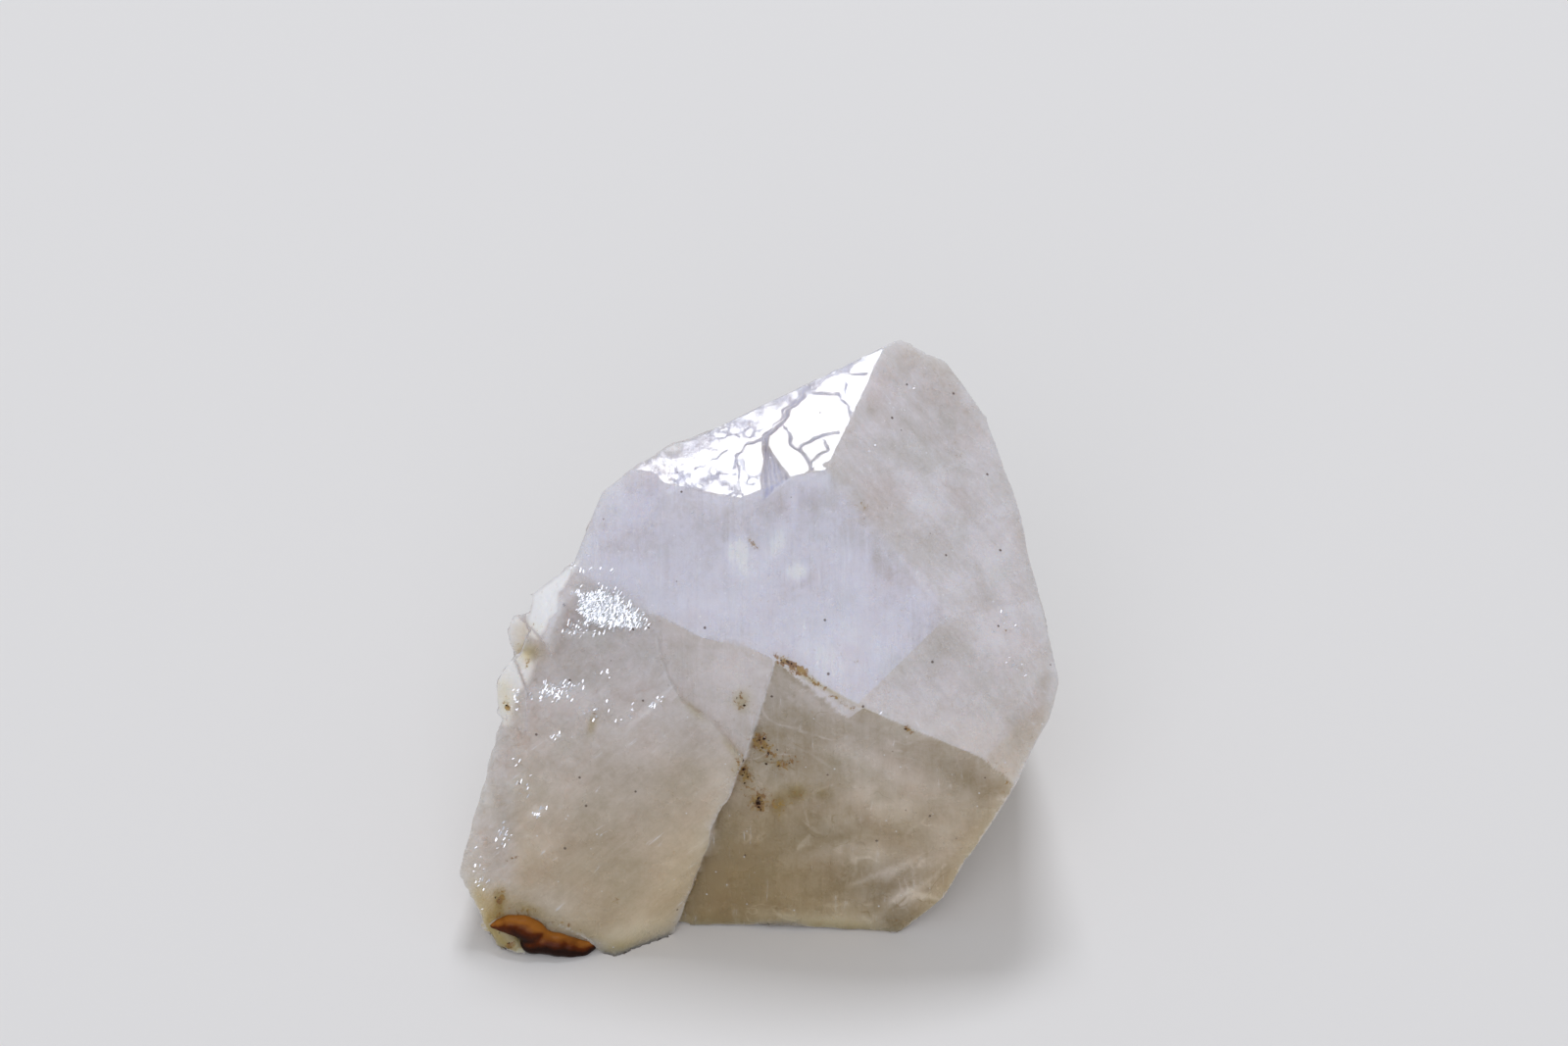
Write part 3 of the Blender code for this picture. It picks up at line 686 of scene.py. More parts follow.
# How strongly each point is worn: on the crest between the two big faces, the seam up the middle face, the
# roll from there down to the lump, the lump's heel, the crust's lips and the lobe on the left.
def wornShare(across, up, front, gloss):
    def away(name):
        return pathDistance(across, up, ridges[name])

    crest = 0.5 * (away("crest") < 0.9) * (gloss < 0.5)
    seam = 0.5 * (away("seam") < 2.4) * (gloss < 0.5)
    roll = 0.6 * ramp(away("roll"), 1.5, 0.6) * ramp(across, -4.9, -5.8)
    heel = 0.6 * ramp(away("heel"), 1.9, 0.9) * ramp(away("heelEdge"), 0.1, 0.6)
    lips = 0.35 * ramp(away("lips"), 0.8, 0.4)
    lobe = 0.25 * ramp(np.hypot(across + 12.2, 0.7 * (up + 2.1)), 1.6, 0.9)  # round the lobe's own middle
    aboveLobe = 0.15 * ramp(np.hypot(across + 11.3, 0.8 * (up - 0.3)), 1.6, 0.8)
    share = np.maximum.reduce((crest, seam, roll, heel, lips, lobe, aboveLobe)) * front
    return share * ramp(away("glossFoot"), 0.05, 0.7) * ramp(away("middleFoot"), 0.05, 0.5)


# The gloss face swells out over the middle face, left of its notch.
def glossSwell(across, up, front):
    height = np.where(up > 8.1, 0.9, 2.3)
    swell = np.exp(-(np.maximum(across + 1.2, 0.0) / 2.3) ** 2)
    swell *= ramp(across, -5.25 - 1.2 * ramp(up, 8.0, 6.5), -4.45)
    swell = swell * np.exp(-((up - 8.1) / height) ** 2) * front
    return quartz["swell"] * swell[:, None] * np.array((0.0, -0.985, -0.173))


# Frosted nubs stand up from the gloss face's far rim, and the left edge follows its own line in and out.
def followOutline(points, across, up, gloss):
    upFront = placeOnFront(0, 1, 0) - placeOnFront(0, 0, 0)
    for nubAcross, nubUp, width, height in rimNubs:
        nub = np.exp(-(np.hypot(0.7 * (across - nubAcross), up - nubUp) / width) ** 2)
        points += height * nub[:, None] * upFront
        gloss *= 1 - ramp(nub, 0.45, 0.75)
    lowest, highest = quartz["leftEdgeSpan"]
    limit = np.interp(-up, [-place[0] for place in leftEdge], [place[1] for place in leftEdge])
    beyond = np.where((up < highest) & (up > lowest), np.maximum(limit - across, 0.0), 0.0)
    points[:, 0] += beyond
    across += beyond


# The gloss face: how deep it sinks, how it shines, and where its grooves and worn rim are whiter.
def glossRelief(points, across, up, front, zones):
    gloss = zones["gloss"]

    # A ribbed notch at its foot, a scallop right of that, and grooves between its plates.
    notch = ramp(depthInside(across, up, outlines["notch"]), -0.06, 0.08) * front
    fan = (across - 0.35) / np.maximum(11.0 - up, 0.3)
    ribs = 0.5 + 0.5 * np.sin(fan * 62.0 + 2 * softNoise(points, 0.5, 21))
    scallop = ramp(0.8 - np.hypot((across - 2.6) / 1.5, up - 7.7), 0.0, 0.5) * zones["middle"]
    groove = np.zeros(len(points))
    sink = np.zeros(len(points))
    wander = 0.03 * softNoise(points, 0.22, 5, 2)
    jag = 0.12 * softNoise(points, 0.4, 6)
    for path, halfWidth, depth in plateGrooves:
        cut = ramp(halfWidth - pathDistance(across + jag, up - jag, path) - wander, -0.02, halfWidth) * gloss
        groove = np.maximum(groove, cut)
        sink = np.maximum(sink, depth * cut)
    groove = np.maximum(groove, notch * (0.4 + 0.6 * ribs))
    sink = sink + notch * (quartz["notch"] + quartz["notchRib"] * ribs) + quartz["scallop"] * scallop

    # Each growth plate is a hair higher or lower than the next, and its far edge is worn.
    inside, turned, _ = brokenCells(points, 1.3, 11)
    plateEdge = ramp(0.07 - inside, 0.0, 0.07) * (turned[:, 1] > 0.4)
    sink += gloss * (quartz["plateStep"] * turned[:, 0] + quartz["plateWear"] * plateEdge)

    # Crackle on the left, and a rim that is ragged and frosted in patches.
    inside, _, _ = brokenCells(points + 0.1 * softNoise(points, 0.3, 13)[:, None], 0.55, 15)
    crackle = ramp(0.15 - inside, 0.0, 0.1) * ramp(softNoise(points, 0.9, 14, 2), -0.25, 0.35)
    crackle *= ramp(across, 1.3, -0.3) * gloss
    rimLine = pathDistance(across, up, ridges["glossRim"])
    drawnUp = points * (1.0, 1.0, 0.2)
    ragged = softNoise(drawnUp, 0.35, 12, 3)
    upperRim = ramp(rimLine + 0.3 * ragged, np.interp(across, (-5, 0, 5), (1.1, 0.95, 0.35)), 0.1)
    patchy = ramp(softNoise(drawnUp, 0.8, 16, 2), -0.5, 0.6)
    upperRim *= 0.35 + 0.65 * patchy
    rimWear = quartz["rimWear"]
    sink += gloss * (rimWear * upperRim * ragged + rimWear * ramp(rimLine, 0.2, 0.0) * patchy)
    bloom = 0.18 * ramp(softNoise(drawnUp, 0.3, 18, 2), -0.1, 0.8)
    shine = gloss * (1 - 0.8 * groove) * (1 - 0.62 * upperRim) * (1 - 0.55 * crackle) * (1 - bloom)
    return sink, shine, np.maximum.reduce((groove, 0.8 * upperRim * gloss, 0.8 * crackle))


# Broken faces: broad swells, ripples round where the blow fell, and a wavy foot. The step where the lump
# stands proud of the wedge fades out up its edge.
def addBreaks(sink, points, across, up, out, hidden, zones):
    under = zones["under"]
    reach = np.linalg.norm(points - placeOnFront(*quartz["blow"]), axis=1)
    ripple = np.sin(reach * 4.2 + 2.2 * softNoise(points, 3.0, 31))
    shell = ramp(0.5 - np.abs(np.hypot((across - 4.2) / 1.3, up + 7.9) - 1.0), 0.2, 0.5) * under
    swell = quartz["brokenSwell"] * softNoise(points, 4.5, 32, 2) + quartz["ripple"] * ripple
    sink += np.maximum(under, hidden) * swell + quartz["shell"] * shell
    sink += under * quartz["brokenGrain"] * softNoise(points * (1.0, 1.0, 2.2), 1.1, 35, 2)
    turn = quartz["waveTurn"]
    waveAlong = 0.3 * (across * math.cos(turn) + up * math.sin(turn))
    waveOver = up * math.cos(turn) - across * math.sin(turn)
    wave = softNoise(np.stack((waveAlong, waveOver, 0.3 * out), axis=1), 0.62, 37, 2)
    wave *= spotField(across, up, waveSpots) * under
    sink += quartz["wave"] * wave
    stepUp = zones["lump"] * ramp(pathDistance(across, up, wedgeStep), 1.1, 0.0)
    fading = 0.2 + 0.8 * ramp(up, -0.3, -2.2)
    sink += quartz["wedgeSink"] * zones["wedge"] - quartz["stepRise"] * stepUp * fading
    bevel = ramp(depthInside(across, up, outlines["footBevel"]), -0.05, 0.8)
    sink += quartz["footBevel"] * bevel * zones["lowerRight"]
    return ripple, wave


# Rough zones break up into chips and small terraces, level with the gloss face. Gives where they flash, which
# the quartz colour also whitens as painted sheen, and how far each point moves to its own tread.
def addTerraces(sink, points, across, up, front, lump):
    splitUp = np.interp(across, (-10.7, -8.4, -5.9, -4.9), (-7.9, -6.6, -3.9, -2.3))
    roughZone = ramp(up - splitUp, -0.4, 1.2) * lump * ramp(-across, 4.3, 5.2)
    leftRim = ramp(-across, 11.0, 11.8) * ramp(up, -12.5, -10.0) * front
    roughZone = np.maximum(roughZone * 0.5, 0.8 * leftRim)
    flash = spotField(across, up, flashSpots) * (0.7 + 0.6 * softNoise(points, 0.6, 45, 2))
    sparkle = depthInside(across, up, outlines["sparkle"]) + 0.12 * softNoise(points, 0.4, 46)
    flash = np.clip(np.maximum(flash, ramp(sparkle, -0.1, 0.12)), 0, 1) * front
    terraced = np.clip(0.5 * roughZone * ramp(softNoise(points, 1.3, 41, 2), -0.3, 0.8) + flash, 0, 1)
    _, turned, offset = brokenCells(points, 0.8, 51)
    level = points @ np.array(faceDirections["gloss"]) / quartz["terraceRise"] + 1.3 * turned[:, 0]
    toTread = (np.floor(level) + 0.5 - level) * quartz["terraceRise"]
    chips = quartz["chipSlope"] * np.sum(turned * offset, axis=1)
    _, turned, offset = brokenCells(points, 0.42, 61)
    chips += quartz["chipSlope"] * np.sum(turned * offset, axis=1)
    sink += np.maximum(roughZone, flash * 0.5) * chips
    return flash, 0.5 * terraced * toTread


# The hidden back and sides have stepped growth lines across the prism and broken cells, and every face but
# the gloss one is a little uneven. Short chips are nibbled out of the ridges.
def addWear(sink, points, across, up, hidden, near, gloss):
    _, turned, offset = brokenCells(points, 3.4, 71)
    breaks = quartz["backSlope"] * np.sum(turned * offset, axis=1)
    steps = quartz["growthLine"] * np.sin(points[:, 2] * 5.0 + 2.5 * softNoise(points, 2.5, 72, 2))
    breaks *= ramp(near, 0.1, 1.2)
    sink += hidden * (0.35 * breaks + steps * ramp(softNoise(points, 5.0, 73), -0.2, 0.4))
    fine, broad = quartz["uneven"]
    sink += (fine * softNoise(points, 0.9, 81, 2) + broad * softNoise(points, 3.0, 82)) * (1.0 - gloss)
    bite = ramp(softNoise(points, 0.5, 91, 2) + 0.5 * softNoise(points, 2.6, 92), 0.3, 1.1)
    wedgeEdge = ramp(pathDistance(across, up, ridges["wedgeSides"]), 0.5, 0.2)
    sink += quartz["nibble"] * ramp(near, 0.3, 0.0) * bite * (1.0 - 0.6 * gloss) * (1.0 - 0.7 * wedgeEdge)


# The underside is rough and touches the table only at its high spots, and nothing leaves the CAD's box.
def hollowUnderside(points):
    least, added = quartz["pit"]
    underside = ramp(points[:, 2], 0.25, 0.05)
    pits = least + added * ramp(softNoise(points, 2.2, 95, 3), -0.6, 0.9)
    contact = ramp(softNoise(points, 3.5, 96), 0.35, 0.6)
    points[:, 2] += underside * pits * (1.0 - contact)
    return np.clip(points, np.array(cadBox[0]) / mm, np.array(cadBox[1]) / mm)


# Cloudy bubbles, streaks and cracks, which say how far one sees into the stone, with each face's painted
# light and shade added in.
def cloudsAndPaintedShade(points, across, up, zones, ripple, wave):
    under = zones["under"]
    cloud = zones["tone"] + 0.16 * softNoise(points, 3.2, 101, 3) + 0.07 * softNoise(points, 0.9, 105, 2)
    for name, spots in cloudAndShadeSpots.items():
        cloud += spotField(across, up, spots) * zones[name]
    jag = 0.08 * softNoise(points, 0.5, 109, 2)
    broken = ramp(softNoise(points, 0.8, 113), -0.7, 0.2)
    for path, halfWidth, strength in crackLines:
        away = pathDistance(across + jag, up - jag, path)
        cloud += strength * ramp(away, halfWidth, 0.0) * broken * under
    cloud += (0.14 * softNoise(points, 1.6, 107, 3) + 0.05 * ripple) * under - 0.4 * wave
    return cloud


# The iron taint that deepens towards the foot, and with it painted shade that darkens the lower faces.
def warmthOf(points, across, up, front, zones):
    under = zones["under"]
    lump = zones["lump"]
    lowerRight = zones["lowerRight"]
    warmth = ramp(points[:, 2], 17.0, 0.0) * (0.5 + 0.5 * np.clip(under + 0.8 * lump, 0, 1))
    warmth += 0.1 * lowerRight * ramp(up, -2.0, -4.5)
    warmth += 0.15 * lump * ramp(across, -6.5, -3.5) * ramp(up, -4.0, -6.0)
    warmth += 0.15 * ramp(depthInside(across, up, outlines["footBevel"]), -0.05, 0.1) * lowerRight
    warmth *= 1.0 - 0.55 * ramp(across, -11.3, -12.6) * ramp(up, -12.3, -11.0) * front
    warmth = np.clip(warmth + 0.1 * under + 0.08 * zones["wedge"], 0, 1)
    return warmth * (1.0 - spotField(across, up, greySpots))


# White chips and shards, and the lobe on the left.
def chalkiness(across, up, front):
    chalk = ramp(depthInside(across, up, outlines["whiteChip"]), -0.12, 0.12)
    chalk = np.maximum(chalk, 0.85 * ramp(depthInside(across, up, outlines["lobe"]), -0.4, 0.05))
    chalk = np.maximum(chalk, 0.9 * ramp(0.25 - np.hypot(across + 11.6, up + 14.7), 0.0, 0.15))  # at the lip
    chalk = np.maximum(chalk, 0.5 * ramp(depthInside(across, up, outlines["shard"]), -0.3, 0.0))
    return chalk * front * (across < -8.6)


# Grows the surface detail on the quartz, and gives what its material reads at each point.
def shapedQuartz(mesh, edgeTree, cadNormals):
    points = meshPoints(mesh)
    edges = meshEdges(mesh)
    near = distanceTo(edgeTree, points)
    across, up, _ = seenPlaces(points)
    front, hidden, zones = surfaceZones(across, up, cadNormals)

    # The lump's top bulges out, then the worn edges are smoothed, and the zones blur with them.
    bulge = np.exp(-((across + 7.3) / 1.9) ** 2 - ((up - 1.7) / 1.3) ** 2) * front
    points += quartz["bulge"] * bulge[:, None] * np.array((-0.12, -0.79, 0.6))
    worn = wornShare(across, up, front, zones["gloss"])
    points = relaxed(points, edges, worn, quartz["wearRounds"])
    blurred = relaxed(np.stack(list(zones.values()), axis=1), edges, worn, quartz["blurRounds"])
    zones = dict(zip(zones, blurred.T))
    setPoints(mesh, points)
    normals = meshNormals(mesh)
    points += glossSwell(across, up, front)
    across, up, out = seenPlaces(points)
    followOutline(points, across, up, zones["gloss"])

    # The relief adds up before the points move, so that each kind of it reads the same places.
    sink, shine, groove = glossRelief(points, across, up, front, zones)
    ripple, wave = addBreaks(sink, points, across, up, out, hidden, zones)
    flash, toTread = addTerraces(sink, points, across, up, front, zones["lump"])
    addWear(sink, points, across, up, hidden, near, zones["gloss"])
    glossUp = np.array(faceDirections["gloss"])
    points = hollowUnderside(points - sink[:, None] * normals + toTread[:, None] * glossUp)
    setPoints(mesh, points)

    across, up, _ = seenPlaces(points)
    stain = spotField(across, up, stainSpots) * front
    hiddenStain = ramp(softNoise(points, 3.0, 111, 3), 0.75, 1.3) * hidden
    stain = np.clip(np.maximum(stain, 0.7 * hiddenStain), 0, 1)
    seep = np.clip(spotField(across, up, seepAndLitRimSpots), 0, 1)
    seep = np.maximum(seep, 0.9 * ramp(depthInside(across, up, outlines["creamLobe"]), -0.3, 0.0)) * front
    return {
        "gloss": shine,
        "groove": groove,
        "cloud": cloudsAndPaintedShade(points, across, up, zones, ripple, wave),
        # Veils, with painted glow low on the middle face.
        "veil": np.clip(spotField(across, up, veilAndGlowSpots) * zones["middle"], 0, 1.5),
        "warmth": warmthOf(points, across, up, front, zones),
        "stain": stain,
        "grain": np.clip((stain - 0.45) * 1.8, 0, 1) * front,
        "chalk": chalkiness(across, up, front),
        "flash": flash,
        "slant": np.maximum(zones["right"], zones["lowerRight"]),
        "rise": zones["lump"],
        # Bluish tint on the middle face: painted reflection of the bluish sky.
        "cool": zones["middle"] * ramp(across, -9.3, -8.7),
        "broken": np.maximum(zones["under"], hidden),
        "seep": seep,
    }


mesh, edgeTree, cadNormals = refinedQuartz()
triangleCount = sum(len(face.vertices) - 2 for face in mesh.polygons)
print("quartz mesh:", len(mesh.vertices), "points,", triangleCount, "triangles")
for name, values in shapedQuartz(mesh, edgeTree, cadNormals).items():
    layer = mesh.attributes.new(name, "FLOAT", "POINT")
    layer.data.foreach_set("value", values.astype(np.float32))
print("quartz shaped")


def hexColour(code):
    shares = [int(code[place:place + 2], 16) / 255 for place in (1, 3, 5)]
    linear = [share / 12.92 if share <= 0.04045 else ((share + 0.055) / 1.055) ** 2.4 for share in shares]
    return (*linear, 1.0)


# Adds a node with its settings. Inputs go by name, or by number where names repeat: a socket is linked to
# its input, and anything else is its value. Mix takes the share at 0 and what it mixes at 2 and 3 (numbers),
# 4 and 5 (vectors) or 6 and 7 (colours), and Map Range takes from, to, and what those become at 1 to 4.
def addNode(tree, kind, inputs, **settings):
    node = tree.nodes.new(kind)
    for name, value in settings.items():
        setattr(node, name, value)
    for socket, value in inputs.items():
        if isinstance(value, bpy.types.NodeSocket):
            tree.links.new(value, node.inputs[socket])
        else:
            node.inputs[socket].default_value = value
    return node


def newMaterial(name):
    material = bpy.data.materials.new(name)
    material.use_nodes = True
    tree = material.node_tree
    tree.nodes.clear()
    return material, tree


# Where a material is worked out: the piece's own coordinates, in mm.
def placeInMm(tree):
    place = addNode(tree, "ShaderNodeTexCoord", {}).outputs["Object"]
    return addNode(tree, "ShaderNodeVectorMath", {0: place, "Scale": 1 / mm}, operation="SCALE").outputs[0]


# Milky quartz: silica crowded with tiny fluid bubbles, so light goes in, scatters and comes out soft. Grown
# faces are glassy, and fractured ones are duller with fine ripples.
milkyQuartz = {
    "colours": {
        "deep": "#AFA592",  # where it is clearer and one sees into it, and where faces are darkened by painted shade
        "milk": "#E9E7EC",
        "veil": "#F8F9FF",
        "cool": "#F9F9FF",  # painted reflection of the bluish sky on the middle face
        "neutral": "#FCF8F5",
        "rosy": "#F5E8E0",
        "greenish": "#E6EBDF",
        "warm": "#F0DFB6",  # iron taint in the broken foot, and painted shade on the lower faces
        "seep": "#DCD09A",
        "film": "#D9CFA0",
        "ochre": "#AA8634",
        "orange": "#8E5E1E",
        "rust": "#4A2A10",
        # painted sheen: where the small steps flash, the colour is whitened too
        "flash": "#FBFCFF",
        "chalk": "#FFFBF8",
        "groove": "#DCE0F2",
    },
    "ior": 1.544,
    "scatterReach": (3.4, 3.0, 2.6),  # mm
    "scattered": 0.85,  # share of the light that goes in and comes out soft
    "reliefDepth": 0.05,  # mm
    "streakRelief": 1.2,  # how much more than the fine noise the streaks stand out
    # what the mesh says at each point
    "masks": ("gloss", "groove", "cloud", "veil", "warmth", "stain", "chalk", "flash", "slant", "rise",
              "cool", "broken", "seep"),
    "bend": {"Scale": 0.35, "Detail": 3.0},  # the noise that bends the coordinates of wisps and cracks
    "bent": 0.6,  # how far
    # which coordinates, scale per mm, detail, roughness and distortion of each noise
    "patterns": {
        "upStreak": ("upStretch", 0.9, 5.0, 0.62, 0.35),
        "slantStreak": ("slantStretch", 0.9, 5.0, 0.62, 0.35),
        "riseStreak": ("riseStretch", 0.9, 5.0, 0.62, 0.35),
        "wisp": ("bent", 1.1, 7.0, 0.66, 1.6),
        "mottle": ("plain", 2.4, 4.0, 0.6, 0.8),
        "frost": ("plain", 7.0, 4.0, 0.7, 0.0),
        "seam": ("bent", 0.5, 3.0, 0.5, 1.0),
        "hairline": ("bent", 0.9, 2.0, 0.5, 0.6),
        "blush": ("plain", 0.45, 3.0, 0.5, 0.0),
        "patch": ("plain", 0.7, 2.0, 0.5, 0.0),
        "lace": ("plain", 4.2, 4.0, 0.65, 0.5),
        "hue": ("plain", 3.0, 3.0, 0.5, 0.0),
        "handling": ("plain", 0.8, 5.0, 0.5, 0.0),
        "fine": ("plain", 3.2, 7.0, 0.65, 0.6),
    },
    # turn on the front in radians and the stretch of the growth streaks
    "streaks": {
        "upStretch": (math.pi / 2, (0.35, 4.5, 0.8)),
        "slantStretch": (math.radians(50), (0.5, 3.6, 1.2)),
        "riseStretch": (math.radians(-40), (0.5, 4.2, 1.5)),
    },
    # shares from 0 to 1, or small steps up and down: what is ranged, from, to, then what those become
    "ranges": {
        "wisps": ("wisp", 0.3, 0.7, -0.16, 0.16),
        "mottling": ("mottle", 0.3, 0.7, -0.1, 0.1),
        "frosting": ("frost", 0.3, 0.7, -0.08, 0.08),
        "streaking": ("streak", 0.3, 0.7, -0.09, 0.09),
        "glowing": ("upStreak", 0.35, 0.65, 0.3, 1.5),
        "rosiness": ("blush", 0.52, 0.72, 0.0, 0.3),
        "greenness": ("blush", 0.46, 0.3, 0.0, 0.22),
        "patches": ("patch", 0.5, 0.62, 0.0, 1.0),
        "lacy": ("lace", 0.32, 0.66, 0.0, 1.0),
        "rusty": ("hue", 0.4, 0.6, 0.0, 1.0),
        "unglossed": ("gloss", 0.0, 0.2, 1.0, 0.0),
        "scratched": ("streak", 0.63, 0.7, 0.0, 0.6),
        "dull": ("handling", 0.3, 0.7, 0.12, 0.36),
        "matt": ("gloss", 0.3, 1.0, 0.9, 0.03),
        "thinFilm": ("stain", 0.1, 0.9, 0.0, 0.35),
        "notCool": ("cool", 0.0, 1.0, 0.7, 0.0),
        "clear": ("chalk", 0.0, 0.5, 0.15, 0.0),
    },
    # half width on its noise and strength of each healed crack
    "cracks": {"seam": (0.02, 0.5), "hairline": (0.012, -0.45)},
    # what adds up to the cloudiness and painted shade, and the cells per mm of the specks
    "cloudTerms": ("wisps", "mottling", "frosting", "streaking", "seam", "hairline", "glow"),
    "speckCells": {"gritCell": 0.75, "crumbCell": 1.2},
    # shares of what is worked out from those, ranged in the same way
    "laterRanges": {
        "seeInto": ("clouds", -1.0, 0.15, 1.0, 0.0),
        "veiled": ("clouds", 0.1, 1.0, 0.0, 1.0),
        "thinIron": ("ironFilm", -0.06, 0.22, 0.0, 0.85),
        "thickIron": ("ironFilm", 0.5, 0.72, 0.0, 0.9),
        "grit": ("gritCell", 0.06, 0.042, 0.0, 0.8),
        "crumb": ("crumbCell", 0.07, 0.04, 0.0, 0.7),
    },
    # the colour, layer on layer: where it lies, its colour and how it mixes
    "layers": (
        ("seeInto", "deep", "MIX"), ("veiled", "veil", "MIX"), ("warmth", "warm", "MULTIPLY"),
        ("cool", "cool", "MULTIPLY"), ("notCool", "neutral", "MULTIPLY"), ("rosiness", "rosy", "MULTIPLY"),
        # The flash layer whitens the colour where the steps flash: painted sheen.
        ("greenness", "greenish", "MULTIPLY"), ("groove", "groove", "MULTIPLY"), ("flash", "flash", "MIX"),
        ("chalk", "chalk", "MIX"), ("seep", "seep", "MULTIPLY"), ("thinFilm", "film", "MULTIPLY"),
        ("thinIron", "iron", "MIX"), ("thickIron", "rust", "MIX"), ("grit", "rust", "MIX"),
        ("crumb", "veil", "MIX"), ("scratch", "veil", "MIX"),
    ),
    # how rough the shine is where each mask is full
    "roughness": {"gloss": 0.06, "flash": 0.2, "chalk": 0.6},
}


def quartzMaterial():
    material, tree = newMaterial("milky_quartz_grown_and_fractured")
    colours = {name: hexColour(code) for name, code in milkyQuartz["colours"].items()}
    inMm = placeInMm(tree)
    bend = addNode(tree, "ShaderNodeTexNoise", {"Vector": inMm, **milkyQuartz["bend"]}).outputs["Color"]
    bent = addNode(tree, "ShaderNodeMix", {0: milkyQuartz["bent"], 4: inMm, 5: bend},
                   data_type="VECTOR").outputs[1]
    upright = addNode(tree, "ShaderNodeMapping", {0: inMm, 2: (leanAngle - math.pi / 2, 0, 0)}).outputs[0]
    places = {"plain": inMm, "bent": bent}
    for name, (turn, stretch) in milkyQuartz["streaks"].items():
        turned = addNode(tree, "ShaderNodeMapping", {0: upright, 2: (0, 0, turn)}).outputs[0]
        places[name] = addNode(tree, "ShaderNodeMapping", {0: turned, 3: stretch}).outputs[0]

    # Everything that varies over the stone, by its name.
    shares = {}
    for name in milkyQuartz["masks"]:
        shares[name] = addNode(tree, "ShaderNodeAttribute", {}, attribute_name=name).outputs["Fac"]
    for name, (where, scale, detail, roughness, distortion) in milkyQuartz["patterns"].items():
        shares[name] = addNode(tree, "ShaderNodeTexNoise", {
            "Vector": places[where], "Scale": scale, "Detail": detail, "Roughness": roughness,
            "Distortion": distortion}).outputs["Fac"]

    # Growth streaks: up the middle face, slanting down the right face, and rising across the lump.
    shares["streak"] = shares["upStreak"]
    for name in ("slant", "rise"):
        shares["streak"] = addNode(tree, "ShaderNodeMix", {
            0: shares[name], 2: shares["streak"], 3: shares[name + "Streak"]}).outputs[0]
    for name, (source, low, high, atLow, atHigh) in milkyQuartz["ranges"].items():
        shares[name] = addNode(tree, "ShaderNodeMapRange", {
            0: shares[source], 1: low, 2: high, 3: atLow, 4: atHigh}).outputs[0]

    # Healed cracks: thin curved sheets of bubbles, seen edge on as hairlines, mostly in the fractured parts.
    for name, (width, strength) in milkyQuartz["cracks"].items():
        gap = addNode(tree, "ShaderNodeMath", {0: shares[name], 1: 0.5}, operation="SUBTRACT").outputs[0]
        gap = addNode(tree, "ShaderNodeMath", {0: gap}, operation="ABSOLUTE").outputs[0]
        line = addNode(tree, "ShaderNodeMapRange", {0: gap, 1: 0.0, 2: width, 3: strength, 4: 0.0}).outputs[0]
        for mask in ("patches", "broken"):
            line = addNode(tree, "ShaderNodeMath", {0: line, 1: shares[mask]},
                           operation="MULTIPLY").outputs[0]
        shares[name] = line

    # Cloudiness and painted shade add up, and say how much one sees into the stone and how dark a face is
    # painted.
    shares["glow"] = addNode(tree, "ShaderNodeMath", {0: shares["veil"], 1: shares["glowing"]},
                             operation="MULTIPLY").outputs[0]
    shares["clouds"] = shares["cloud"]
    for name in milkyQuartz["cloudTerms"]:
        shares["clouds"] = addNode(tree, "ShaderNodeMath", {0: shares["clouds"], 1: shares[name]},
                                   operation="ADD").outputs[0]

    # Iron stain: an ochre film where the stain beats the lace, rusty where it is thickest.
    shares["ironFilm"] = addNode(tree, "ShaderNodeMath", {0: shares["stain"], 1: shares["lacy"]},
                                 operation="SUBTRACT").outputs[0]
    colours["iron"] = addNode(tree, "ShaderNodeMix", {
        0: shares["rusty"], 6: colours["ochre"], 7: colours["orange"]}, data_type="RGBA").outputs[2]

    # Specks: dark grit in pits and white crumbs, about 0.1 mm wide, and short white scratches along the
    # streaks, which are also painted glints.
    for name, scale in milkyQuartz["speckCells"].items():
        shares[name] = addNode(tree, "ShaderNodeTexVoronoi", {
            "Vector": inMm, "Scale": scale}).outputs["Distance"]
    for name, (source, low, high, atLow, atHigh) in milkyQuartz["laterRanges"].items():
        shares[name] = addNode(tree, "ShaderNodeMapRange", {
            0: shares[source], 1: low, 2: high, 3: atLow, 4: atHigh}).outputs[0]
    shares["scratch"] = shares["scratched"]
    for name, mask in (("crumb", "unglossed"), ("scratch", "patches"), ("scratch", "unglossed")):
        shares[name] = addNode(tree, "ShaderNodeMath", {0: shares[name], 1: shares[mask]},
                               operation="MULTIPLY").outputs[0]

    colour = colours["milk"]
    for share, layer, blend in milkyQuartz["layers"]:
        colour = addNode(tree, "ShaderNodeMix", {0: shares[share], 6: colour, 7: colours[layer]},
                         data_type="RGBA", blend_type=blend).outputs[2]

    # Shine: grown faces are glassy, and handling has dulled them in patches.
    shine = shares["dull"]
    for mask, roughness in milkyQuartz["roughness"].items():
        shine = addNode(tree, "ShaderNodeMix", {0: shares[mask], 2: shine, 3: roughness}).outputs[0]

